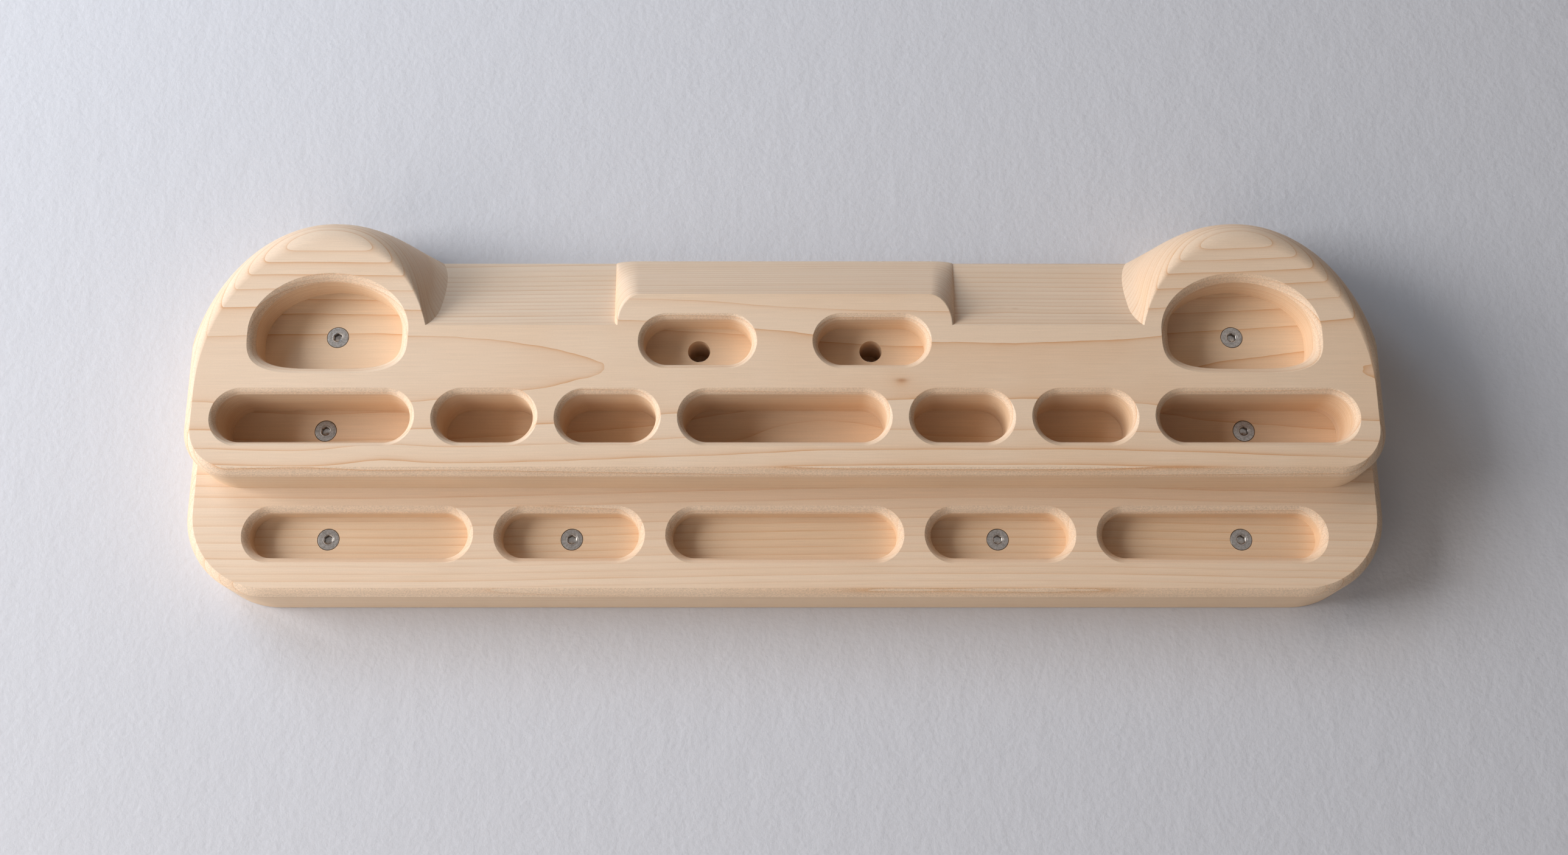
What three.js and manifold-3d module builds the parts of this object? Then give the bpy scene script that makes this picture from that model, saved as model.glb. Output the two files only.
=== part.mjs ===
// A wall-mounted wooden finger board for climbing practice, in millimetres, +Z up.
// X runs along the board, Y runs from the climber into the wall, and the wall's face is y = 0.
// Two maple planks are glued face to face over hidden dowels. The front plank carries the rounded
// jugs, the slopers, the ridge and the deep finger pockets. The back plank is longer downwards and
// carries the shallow pockets. Countersunk screws in the pocket floors hold both planks to a wall.
// Heights are measured from the bottom edge until the last lines, which move the origin to the
// middle of the back face. Depths are measured from the wall towards the climber.
import * as THREE from "three";
import { mergeVertices } from "three/addons/utils/BufferGeometryUtils.js";
import Module from "manifold-3d";

const wasm = await Module();
wasm.setup();

// Planks
const frontPlankThickness = 27;
const backPlankThickness = 33;
const edgeRound = 4;
const frontCornerRadius = 25;
const backCornerRadius = 44;
const backSideSpread = 3.5;
const backSideRunOut = 35;

// Shallow pockets along the bottom of the back plank
const lowMiddlePocketWidth = 123;
const lowInnerPocketWidth = 78;
const lowPocketWeb = 10.4;
const lowPocketEndMargin = 26.4;
const lowPocketBottomMargin = 16.7;
const lowPocketHeight = 30.4;
const lowPocketDepth = 12;
const lowPocketLip = 3.4;

// Deep pockets in one row through the front plank
const stepMargin = 9.5;
const rowPocketBottomMargin = 14.9;
const rowPocketHeight = 31;
const rowPocketDepth = 32;
const rowPocketLip = 2.7;
const rowMiddlePocketWidth = 109.7;
const rowSmallPocketWidth = 54.5;
const rowLongPocketWidth = 104.5;
const rowPocketWeb = 8.2;
const rowEndMargin = 13.15;

// Pair of pockets under the ridge, with bare fixing holes
const ridgePocketWidth = 61.5;
const ridgePocketHeight = 30.2;
const ridgePocketDepth = 17.5;
const ridgePocketLip = 2.7;
const ridgePocketSpacing = 90;
const ridgePocketWeb = 10.4;

// Arched pockets in the jugs
const archPocketWidth = 83;
const archPocketRise = 32;
const archPocketDrop = 23.3;
const archPocketDepth = 20;
const archPocketLip = 3.8;
const archPocketWeb = 7.6;
const archPocketInset = 70.3;
const archPocketDropFullnessShare = 0.55;

// Slopers between the jugs: a straight bevel with a rounded back edge, and the ridge on them
const slopeRise = 53.7;
const slopeTopFlat = 14;
const slopeCrest = 4;
const valleyRim = 23.5;
const ridgeHalfWidth = 86.2;
const ridgeFlare = 1.7;
const ridgeFlareDepth = 3;
const ridgeSpread = 4.6;
const ridgeCornerWidth = 12;
const ridgeStep = 17.2;
const ridgeTopStep = 1.2;

// Jugs: a front outline and a larger, elliptical back outline. The flank between them rolls over
// deeply at the top and as far as the edge round at the outer side. At the inner side it is a
// straight bevel like the sloper's, with a hollow foot on the sloper.
const jugFrontInnerHalfWidth = 58;
const jugFrontOuterHalfWidth = 62;
const jugFrontRise = 80;
const jugFrontTop = 123.4;
const jugBackHalfWidth = 64;
const jugBackInnerRise = 46.5;
const jugBackOuterRise = 82;
const jugBackTop = 151;
const jugTopFlat = 6;
const jugFootRise = 10;
const jugFootSpread = 3.8;
const jugFootSpreadDepth = 12;
const jugFrontInnerFullnessShare = 0.83;
const jugInnerRollFullnessShare = 1.35;
const jugOuterEaseShare = 0.12;

// Fixing screws and the holes they sit in
const screwHeadRadius = 5.6;
const screwHeadRim = 0.8;
const screwShankRadius = 2.15;
const screwThreadRadius = 3;
const screwShankLength = 30;
const screwTipLength = 6;
const screwTipRadius = 0.4;
const screwLength = 70;
const socketAcrossFlats = 4;
const socketDepth = 2.6;
const screwHeadClearance = 0.25;
const screwBoreClearance = 0.25;
const outerScrewInset = 68.3;
const rowScrewInset = 64.4;
const rowScrewLift = 1.8;
const archScrewLift = 26.6;
const spareHoleSeat = 18;

// Alignment dowels across the glue line
const dowelRadius = 4;
const dowelLength = 30;
const dowelChamfer = 1;
const dowelClearance = 0.3;

// Fineness of the curves, and how far a cut runs past its face
const cornerSteps = 6;
const jugSteps = 26;
const ridgeEndSteps = 4;
const pocketEndSteps = 9;
const lipSteps = 2;
const turnedSides = 20;
const halvingSteps = 40;
const cutOverrun = 3;

// Sizes that follow from those above
const boardDepth = frontPlankThickness + backPlankThickness;
const rowEndX =
  rowMiddlePocketWidth / 2 + 3 * rowPocketWeb + 2 * rowSmallPocketWidth + rowLongPocketWidth;
const halfWidth = rowEndX + rowEndMargin;
const lowPocketZ = lowPocketBottomMargin + lowPocketHeight / 2;
const frontBottomZ = lowPocketBottomMargin + lowPocketHeight + stepMargin;
const rowPocketZ = frontBottomZ + rowPocketBottomMargin + rowPocketHeight / 2;
const rowTopZ = rowPocketZ + rowPocketHeight / 2;
const ridgePocketZ = rowTopZ + ridgePocketWeb + ridgePocketHeight / 2;
const archPocketX = halfWidth - archPocketInset;
const archPocketBottomZ = rowTopZ + archPocketWeb;
const valleyFrontZ = rowTopZ + ridgePocketWeb + valleyRim;
const ridgeFrontZ = valleyFrontZ + ridgeStep;
const ridgeRise = slopeRise - ridgeStep + ridgeTopStep;
const slopeDepth = boardDepth - slopeTopFlat;
const jugDepth = boardDepth - jugTopFlat;
const jugFrontX = halfWidth - edgeRound - jugFrontOuterHalfWidth;
const jugBackX = halfWidth - jugBackHalfWidth;
const boardHeight = frontBottomZ + jugBackTop;
const threadStart = screwHeadRim + screwHeadRadius - screwShankRadius;

// One closed solid from rings of points [x, depth, z], front ring first, each ring running
// counter-clockwise as the climber sees it
function loft(rings) {
  const count = rings[0].length;
  const index = [];
  for (let ring = 0; ring < rings.length - 1; ring += 1) {
    for (let i = 0; i < count; i += 1) {
      const front = ring * count + i;
      const frontNext = ring * count + ((i + 1) % count);
      index.push(front, front + count, frontNext);
      index.push(frontNext, front + count, frontNext + count);
    }
  }
  const capOf = (ring) => {
    const contour = ring.map(([x, , z]) => new THREE.Vector2(x, z));
    return THREE.ShapeUtils.triangulateShape(contour, []);
  };
  const last = (rings.length - 1) * count;
  for (const [a, b, c] of capOf(rings[0])) index.push(a, b, c);
  for (const [a, b, c] of capOf(rings[rings.length - 1])) {
    index.push(last + a, last + c, last + b);
  }
  const positions = rings.flat().flatMap(([x, depth, z]) => [x, -depth, z]);
  const geometry = new THREE.BufferGeometry();
  geometry.setAttribute("position", new THREE.Float32BufferAttribute(positions, 3));
  geometry.setIndex(index);
  return geometry;
}

// A geometry as a manifold-3d solid
function solidOf(geometry) {
  const bare = geometry.clone();
  bare.deleteAttribute("normal");
  bare.deleteAttribute("uv");
  const merged = mergeVertices(bare);
  return new wasm.Manifold(
    new wasm.Mesh({
      numProp: 3,
      vertProperties: merged.attributes.position.array,
      triVerts: new Uint32Array(merged.index.array),
    }),
  );
}

// A manifold-3d solid as a geometry with flat faces
function geometryOf(solid) {
  const { vertProperties, triVerts } = solid.getMesh();
  const shared = new THREE.BufferGeometry();
  shared.setAttribute("position", new THREE.BufferAttribute(vertProperties, 3));
  shared.setIndex(new THREE.BufferAttribute(triVerts, 1));
  const geometry = shared.toNonIndexed();
  geometry.computeVertexNormals();
  return geometry;
}

// Points of a quarter turn as [cosine, sine]
function quarter(steps) {
  return Array.from({ length: steps + 1 }, (_, i) => {
    const angle = (Math.PI / 2) * (i / steps);
    return [Math.cos(angle), Math.sin(angle)];
  });
}

// How far a rounded edge has swung out at a distance behind its front: 0 there, and 1 from its
// full depth on
function swing(behind, depth) {
  const rest = Math.max(0, 1 - behind / depth);
  return Math.sqrt(1 - rest * rest);
}

// How far the slopers' bevel has risen at a distance behind the front face: straight from 0
// there, then rounded off by a parabola that reaches 1 past the bevel's end
function bevel(behind) {
  const ahead = Math.max(0, slopeDepth + slopeCrest - behind);
  if (ahead > 2 * slopeCrest) return behind / slopeDepth;
  return 1 - (ahead * ahead) / (4 * slopeCrest * slopeDepth);
}

// Heights of the sloper and of the ridge on it, at a distance behind the front face
function slopeHeights(behind) {
  const share = bevel(behind);
  return {
    valley: valleyFrontZ + slopeRise * share,
    ridge: ridgeFrontZ + ridgeRise * share,
  };
}

// A point of the right jug's outline at a distance behind the front face. The angle runs from 0
// at the inner side over the top to pi at the outer side. A fullness share below 1 squares an
// ellipse, and one above 1 keeps the inner flank a straight bevel further up. The ease share lets
// the outer flank's roll deepen slowly where it leaves the side.
function jugPoint(angle, behind) {
  const up = Math.sin(angle);
  const across = Math.abs(Math.cos(angle));
  const isOuter = angle > Math.PI / 2;
  const side = isOuter ? 1 : -1;
  const ease = (up * up * (1 + jugOuterEaseShare)) / (up + jugOuterEaseShare);
  const roll = swing(behind, isOuter ? edgeRound + (jugDepth - edgeRound) * ease : jugDepth);
  const rollShare = isOuter ? 1 : up ** jugInnerRollFullnessShare;
  const share = roll * rollShare + bevel(behind) * (1 - rollShare);
  const fullness = isOuter ? 1 : jugFrontInnerFullnessShare;
  const frontReach = isOuter ? jugFrontOuterHalfWidth : jugFrontInnerHalfWidth;
  const frontX = jugFrontX + side * frontReach * across ** fullness;
  const frontZ = frontBottomZ + jugFrontTop - jugFrontRise * (1 - up ** fullness);
  const backX = jugBackX + side * jugBackHalfWidth * across;
  const backZ = boardHeight - (isOuter ? jugBackOuterRise : jugBackInnerRise) * (1 - up);
  return [frontX + (backX - frontX) * share, frontZ + (backZ - frontZ) * share];
}

// The angle at which the jug's inner flank meets the sloper
function jugFootAngle(behind) {
  const { valley } = slopeHeights(behind);
  let low = 0;
  let high = Math.PI / 2;
  for (let step = 0; step < halvingSteps; step += 1) {
    const middle = (low + high) / 2;
    if (jugPoint(middle, behind)[1] > valley) high = middle;
    else low = middle;
  }
  return high;
}

// The right half of the outline over the plank's side: the jug from its outer side to its foot,
// which spreads on the sloper, then the rounded end of the ridge
function upperHalfOutline(behind) {
  const { valley, ridge } = slopeHeights(behind);
  const foot = jugFootAngle(behind);
  const ahead = Math.max(0, 1 - behind / jugFootSpreadDepth);
  const spread = jugFootSpread * (1 - ahead * ahead);
  const points = [];
  for (let i = 0; i <= jugSteps; i += 1) {
    const angle = Math.PI + (foot - Math.PI) * (i / jugSteps);
    const [x, z] = jugPoint(angle, behind);
    const near = angle < Math.PI / 2 ? Math.max(0, 1 - (z - valley) / jugFootRise) : 0;
    points.push([x - spread * near * near, z]);
  }
  const flare = ridgeFlare * swing(behind, ridgeFlareDepth) + ridgeSpread * bevel(behind);
  const endX = ridgeHalfWidth + flare;
  for (const [cosine, sine] of quarter(ridgeEndSteps)) {
    points.push([
      endX - ridgeCornerWidth * (1 - cosine),
      valley + (ridge - valley) * sine,
    ]);
  }
  return points;
}

// A plank's ring at a distance behind the front face: a rounded corner and side moved out by the
// spread and drawn in by the inset, which both fade over the side stops, then the upper half
// outline, all mirrored to the left
function plankRing(behind, bottomZ, cornerRadius, inset, spread, sideStops) {
  const radius = cornerRadius - inset;
  const corner = quarter(cornerSteps).map(([cosine, sine]) => [
    halfWidth + spread - cornerRadius + radius * sine,
    bottomZ + cornerRadius - radius * cosine,
  ]);
  const side = sideStops.map(([z, share]) => [halfWidth + (spread - inset) * share, z]);
  const right = [...corner, ...side, ...upperHalfOutline(behind)];
  const left = right.map(([x, z]) => [-x, z]).reverse();
  return [...right, ...left].map(([x, z]) => [x, boardDepth - behind, z]);
}

// Distances behind the front face at which a plank is sliced, closer together where its edge,
// the jugs and the slopers' back edge turn fast
function slices(from, to) {
  const edge = quarter(2 * lipSteps).map(([cosine]) => from + edgeRound * (1 - cosine));
  const jug = quarter(6 * lipSteps).map(([cosine]) => jugDepth * (1 - cosine));
  const crest = [-1, 0, 1].map((share) => slopeDepth + slopeCrest * share);
  const least = edge[1] - from;
  const wanted = [...edge, ...jug, ...crest, to].filter((d) => d >= from && d <= to);
  const kept = [];
  for (const d of wanted.sort((a, b) => a - b)) {
    const isClear = kept.length === 0 || d - kept[kept.length - 1] > least / 2;
    if (isClear && (d === to || to - d > least)) kept.push(d);
  }
  return kept;
}

// The front plank, whose edge is rounded all round
function frontPlank() {
  const rings = slices(0, frontPlankThickness).map((behind) => {
    const inset = edgeRound * (1 - swing(behind, edgeRound));
    return plankRing(behind, frontBottomZ, frontCornerRadius, inset, 0, []);
  });
  return solidOf(loft(rings));
}

// The back plank, a little wider than the front one. Its edge is rounded where it shows, and the
// round and the extra width run out behind the front plank.
function backPlank() {
  const roundEndZ = frontBottomZ + frontCornerRadius;
  const sideStops = [
    [roundEndZ, 1],
    [roundEndZ + backSideRunOut, 0],
  ];
  const rings = slices(frontPlankThickness, boardDepth).map((behind) => {
    const inset = edgeRound * (1 - swing(behind - frontPlankThickness, edgeRound));
    return plankRing(behind, 0, backCornerRadius, inset, backSideSpread, sideStops);
  });
  return solidOf(loft(rings));
}

// Outline of a pocket with half-round ends, drawn in by the inset
function slotOutline(x, z, width, height, inset) {
  const radius = height / 2 - inset;
  const straight = width / 2 - height / 2;
  const end = Array.from({ length: pocketEndSteps + 1 }, (_, i) => {
    const angle = Math.PI * (i / pocketEndSteps - 1 / 2);
    return [straight + radius * Math.cos(angle), radius * Math.sin(angle)];
  });
  const both = [...end, ...end.map(([px, pz]) => [-px, -pz])];
  return both.map(([px, pz]) => [x + px, z + pz]);
}

// Outline of an arched pocket, drawn in by the inset: a half ellipse over a flatter, fuller half
function archOutline(x, inset) {
  const half = archPocketWidth / 2 - inset;
  const z = archPocketBottomZ + archPocketDrop;
  const steps = 4 * pocketEndSteps;
  return Array.from({ length: steps }, (_, i) => {
    const cosine = Math.cos((2 * Math.PI * i) / steps);
    const sine = Math.sin((2 * Math.PI * i) / steps);
    const reach = (sine > 0 ? archPocketRise : archPocketDrop) - inset;
    const fullness = sine > 0 ? 1 : archPocketDropFullnessShare;
    return [
      x + half * Math.sign(cosine) * Math.abs(cosine) ** fullness,
      z + reach * Math.sign(sine) * Math.abs(sine) ** fullness,
    ];
  });
}

// The cutter of a pocket with a rounded lip, sunk from a face that lies at a depth
function pocketCutter(outlineAt, faceDepth, pocketDepth, lip) {
  const ringAt = (inset, depth) => outlineAt(inset).map(([x, z]) => [x, depth, z]);
  const rings = [ringAt(0, faceDepth + cutOverrun)];
  for (const [cosine, sine] of quarter(lipSteps)) {
    rings.push(ringAt(lip * sine, faceDepth - lip * (1 - cosine)));
  }
  rings.push(ringAt(lip, faceDepth - pocketDepth));
  return solidOf(loft(rings));
}

// A closed turned geometry round an axis that runs into the wall, from its profile as
// [radius, depth] with the front end first
function turned(x, z, profile) {
  const points = profile.map(([radius, depth]) => new THREE.Vector2(radius, depth));
  const geometry = new THREE.LatheGeometry(points.reverse(), turnedSides);
  return geometry.rotateX(Math.PI).translate(x, 0, z);
}

// A screw whose head lies flush with a pocket floor at a depth from the wall
function screw(x, z, floor) {
  const tipEnd = floor - screwLength;
  const body = turned(x, z, [
    [0, floor],
    [screwHeadRadius, floor],
    [screwHeadRadius, floor - screwHeadRim],
    [screwShankRadius, floor - threadStart],
    [screwShankRadius, floor - screwShankLength],
    [screwThreadRadius, floor - screwShankLength - screwThreadRadius + screwShankRadius],
    [screwThreadRadius, tipEnd + screwTipLength],
    [screwTipRadius, tipEnd],
    [0, tipEnd],
  ]);
  const socketRadius = socketAcrossFlats / Math.sqrt(3);
  const socket = new THREE.CylinderGeometry(
    socketRadius,
    socketRadius,
    socketDepth + cutOverrun,
    6,
  );
  socket.translate(x, -floor + (socketDepth - cutOverrun) / 2, z);
  return geometryOf(solidOf(body).subtract(solidOf(socket)));
}

// The hole that a screw stands in: a seat for its head, then a clear bore through to the wall
function screwHole(x, z, floor) {
  const seatRadius = screwHeadRadius + screwHeadClearance;
  const boreRadius = screwThreadRadius + screwBoreClearance;
  const seatEnd = floor - screwHeadRim - screwHeadClearance;
  return solidOf(
    turned(x, z, [
      [0, floor + cutOverrun],
      [seatRadius, floor + cutOverrun],
      [seatRadius, seatEnd],
      [boreRadius, seatEnd - (seatRadius - boreRadius)],
      [boreRadius, -cutOverrun],
      [0, -cutOverrun],
    ]),
  );
}

// A bare fixing hole: a deep counterbore for the head, then the same clear bore
function spareHole(x, z, floor) {
  const boreRadius = screwThreadRadius + screwBoreClearance;
  const seatRadius = screwHeadRadius + screwHeadClearance;
  return solidOf(
    turned(x, z, [
      [0, floor + cutOverrun],
      [seatRadius, floor + cutOverrun],
      [seatRadius, spareHoleSeat],
      [boreRadius, spareHoleSeat],
      [boreRadius, -cutOverrun],
      [0, -cutOverrun],
    ]),
  );
}

// A dowel, or the hole for it when a clearance is given, centred on the glue line
function dowel(x, z, clearance) {
  const half = dowelLength / 2 + clearance;
  const radius = dowelRadius + clearance;
  return turned(x, z, [
    [0, backPlankThickness + half],
    [radius - dowelChamfer, backPlankThickness + half],
    [radius, backPlankThickness + half - dowelChamfer],
    [radius, backPlankThickness - half + dowelChamfer],
    [radius - dowelChamfer, backPlankThickness - half],
    [0, backPlankThickness - half],
  ]);
}

// Places on the right half of the board, which the left half mirrors
const rowSmallInnerX = rowMiddlePocketWidth / 2 + rowPocketWeb + rowSmallPocketWidth / 2;
const rowSmallOuterX = rowSmallInnerX + rowSmallPocketWidth + rowPocketWeb;
const rowPockets = [
  [0, rowMiddlePocketWidth],
  [rowSmallInnerX, rowSmallPocketWidth],
  [rowSmallOuterX, rowSmallPocketWidth],
  [rowEndX - rowLongPocketWidth / 2, rowLongPocketWidth],
];
const lowInnerX = lowMiddlePocketWidth / 2 + lowPocketWeb + lowInnerPocketWidth / 2;
const lowOuterStartX = lowInnerX + lowInnerPocketWidth / 2 + lowPocketWeb;
const lowOuterEndX = halfWidth - lowPocketEndMargin;
const lowPockets = [
  [0, lowMiddlePocketWidth],
  [lowInnerX, lowInnerPocketWidth],
  [(lowOuterStartX + lowOuterEndX) / 2, lowOuterEndX - lowOuterStartX],
];
const lowFloor = backPlankThickness - lowPocketDepth;
const fixings = [
  ["jug", archPocketX, archPocketBottomZ + archScrewLift, boardDepth - archPocketDepth],
  ["row", halfWidth - rowScrewInset, rowPocketZ + rowScrewLift, boardDepth - rowPocketDepth],
  ["low_outer", halfWidth - outerScrewInset, lowPocketZ, lowFloor],
  ["low_inner", lowInnerX, lowPocketZ, lowFloor],
];
const dowelLowZ = frontBottomZ + rowPocketBottomMargin / 2;
const dowels = [
  ["valley", (archPocketX - archPocketWidth / 2 + ridgeHalfWidth) / 2, (rowTopZ + valleyFrontZ) / 2],
  ["middle", (rowMiddlePocketWidth + rowPocketWeb) / 2, dowelLowZ],
  ["end", rowEndX - rowLongPocketWidth - rowPocketWeb / 2, dowelLowZ],
];
const sides = [
  ["left", -1],
  ["right", 1],
];

// The cutters of both planks, all pockets and holes on both sides
function cutters() {
  const cuts = [];
  const slot = (x, z, width, height, face, depth, lip) =>
    cuts.push(pocketCutter((inset) => slotOutline(x, z, width, height, inset), face, depth, lip));
  for (const [, side] of sides) {
    for (const [x, width] of rowPockets) {
      if (x === 0 && side < 0) continue;
      slot(side * x, rowPocketZ, width, rowPocketHeight, boardDepth, rowPocketDepth, rowPocketLip);
    }
    const ridgeX = (side * ridgePocketSpacing) / 2;
    slot(
      ridgeX,
      ridgePocketZ,
      ridgePocketWidth,
      ridgePocketHeight,
      boardDepth,
      ridgePocketDepth,
      ridgePocketLip,
    );
    cuts.push(spareHole(ridgeX, ridgePocketZ, boardDepth - ridgePocketDepth));
    const arch = (inset) => archOutline(side * archPocketX, inset);
    cuts.push(pocketCutter(arch, boardDepth, archPocketDepth, archPocketLip));
    for (const [, x, z, floor] of fixings) cuts.push(screwHole(side * x, z, floor));
    for (const [, x, z] of dowels) cuts.push(solidOf(dowel(side * x, z, dowelClearance)));
  }
  return cuts;
}

// The cutters of the shallow pockets, which open below the front plank
function lowCutters() {
  const cuts = [];
  for (const [x, width] of lowPockets) {
    for (const side of x === 0 ? [1] : [-1, 1]) {
      const outline = (inset) => slotOutline(side * x, lowPocketZ, width, lowPocketHeight, inset);
      cuts.push(pocketCutter(outline, backPlankThickness, lowPocketDepth, lowPocketLip));
    }
  }
  return cuts;
}

const maple = { color: 0xe6cda6, roughness: 0.55, metalness: 0 };
const beech = { color: 0xd9b98c, roughness: 0.7, metalness: 0 };
const steel = { color: 0x9a9a98, roughness: 0.35, metalness: 1 };

const board = new THREE.Group();

function add(name, geometry, finish) {
  const mesh = new THREE.Mesh(geometry, new THREE.MeshStandardMaterial(finish));
  mesh.name = name;
  board.add(mesh);
}

const cutAll = (plank, cuts) => cuts.reduce((solid, cut) => solid.subtract(cut), plank);
const shared = cutters();
add("front_board", geometryOf(cutAll(frontPlank(), shared)), maple);
add("back_board", geometryOf(cutAll(backPlank(), [...shared, ...lowCutters()])), maple);
for (const [sideName, side] of sides) {
  for (const [place, x, z, floor] of fixings) {
    add(`screw_${place}_${sideName}`, screw(side * x, z, floor), steel);
  }
  for (const [place, x, z] of dowels) {
    add(`dowel_${place}_${sideName}`, dowel(side * x, z, 0), beech);
  }
}

board.position.z = -boardHeight / 2;

export default board;
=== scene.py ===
"""A wall-mounted wooden finger board for climbing practice, dressed for rendering.

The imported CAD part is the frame. Two maple planks, eight countersunk screws and six hidden dowels
replace the CAD solids with finer surfaces of the same sizes. Sizes are millimetres here, heights
are measured from the board's bottom edge and depths from the wall, and `place` turns them into the
frame's metres. A studio class adds the plaster wall, the floor, the lamps and the camera.
"""

import logging
from dataclasses import dataclass, field
from enum import Enum
from functools import cache
from math import pi, radians
from typing import Union

import bmesh
import bpy
import numpy as np
from mathutils import Euler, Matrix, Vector
from mathutils.geometry import delaunay_2d_cdt


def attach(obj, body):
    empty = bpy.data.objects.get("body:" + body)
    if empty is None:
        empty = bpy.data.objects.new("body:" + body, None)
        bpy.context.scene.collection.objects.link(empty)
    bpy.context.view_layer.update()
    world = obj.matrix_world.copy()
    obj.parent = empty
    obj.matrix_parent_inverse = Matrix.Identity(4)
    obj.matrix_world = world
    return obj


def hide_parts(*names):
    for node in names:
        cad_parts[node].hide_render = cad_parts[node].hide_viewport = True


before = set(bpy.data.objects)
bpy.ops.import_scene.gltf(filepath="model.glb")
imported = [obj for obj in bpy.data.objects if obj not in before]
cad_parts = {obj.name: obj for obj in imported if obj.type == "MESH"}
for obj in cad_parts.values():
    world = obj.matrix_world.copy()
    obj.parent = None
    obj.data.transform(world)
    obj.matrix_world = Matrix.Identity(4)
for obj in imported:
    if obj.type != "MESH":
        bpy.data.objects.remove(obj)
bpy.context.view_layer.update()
log = logging.getLogger("finger_board")

MM = 0.001
WELD_DISTANCE = 2e-6
LEAST_EDGE = 1e-7
OUTLINE_SLACK = 1e-6
TRIANGLES_OUTSIDE_HOLES = 2
Socket = Union[bpy.types.NodeSocket, float, tuple]
Number = Union[float, np.ndarray]


class PocketShape(Enum):
    """The outlines that a finger pocket can have."""

    SLOT = "slot with half-round ends"
    ARCH = "half ellipse over a flatter half"


class Side(Enum):
    """The two halves of the board, as the sign of X."""

    LEFT = -1
    RIGHT = 1


def swing(behind: Number, depth: Number, start: Number = 0.0, end: Number = pi / 2) -> Number:
    """How far a rounded edge has swung out: an arc of an ellipse, 0 at its front and 1 at its depth.

    The arc's angle runs from start to end. Its cosine changes evenly with the distance behind, and
    the share is its sine, scaled to run from 0 to 1. A quarter turn meets both faces smoothly, and
    a shorter arc meets them at crisp edges.

    Args:
        behind: distance behind the front of the round.
        depth: full depth of the round.
        start: angle between the arc and the front face where it begins.
        end: the same angle where the arc ends.

    Returns:
        The share from 0 to 1.
    """
    along = np.clip(behind / depth, 0.0, 1.0)
    cosine = np.cos(start) + (np.cos(end) - np.cos(start)) * along
    return (np.sqrt(1.0 - cosine * cosine) - np.sin(start)) / (np.sin(end) - np.sin(start))


def quarter(steps: int) -> np.ndarray:
    """Angles of a quarter turn in equal steps, both ends included."""
    return np.linspace(0.0, pi / 2, steps + 1)


def full_turn(count: int) -> np.ndarray:
    """Angles of a full turn in equal steps, without a second copy of the first."""
    return np.arange(count) * (2 * pi / count)


def lifted(outline: np.ndarray, depth: float) -> np.ndarray:
    """An outline of [x, z] points as [x, depth, z] points at one depth."""
    return np.column_stack([outline[:, 0], np.full(len(outline), depth), outline[:, 1]])


def circle(x: float, z: float, radius: float, count: int = 48) -> np.ndarray:
    """Points on a circle round (x, z)."""
    turn = full_turn(count)
    return np.column_stack([x + radius * np.cos(turn), z + radius * np.sin(turn)])


def grid_quads(rows: int, columns: int) -> np.ndarray:
    """The faces between rows of points, each row closed on itself.

    Point j of row i has the index i times columns plus j. Each face joins two neighbours of one row
    with the same two of the next.

    Args:
        rows: number of rows.
        columns: number of points in a row.

    Returns:
        Four indices for each face.
    """
    row, column = np.meshgrid(np.arange(rows - 1), np.arange(columns), indexing="ij")
    after = (column + 1) % columns
    corners = [row * columns + column, row * columns + after,
               (row + 1) * columns + after, (row + 1) * columns + column]
    return np.stack(corners, axis=-1).reshape(-1, 4)


@dataclass(frozen=True)
class Board:
    """Sizes that both planks, the pockets and the fixings share."""

    front_thickness: float = 27.0
    back_thickness: float = 33.0
    height: float = 207.6
    half_width: float = 306.1
    front_bottom: float = 56.6
    edge_round: float = 4.0
    crisp_angle: float = radians(24.0)
    front_corner: float = 25.0
    back_corner: float = 44.0

    @property
    def depth(self) -> float:
        """Thickness of the whole board."""
        return self.front_thickness + self.back_thickness

    def place(self, points: np.ndarray) -> np.ndarray:
        """Turns [x, depth, height] in millimetres into the frame's metres.

        Args:
            points: array of points, any leading shape.

        Returns:
            The same points with the wall at y = 0 and the origin at mid height.
        """
        flat = np.asarray(points, float).reshape(-1, 3)
        return np.column_stack([flat[:, 0], -flat[:, 1], flat[:, 2] - self.height / 2]) * MM


BOARD = Board()


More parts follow.
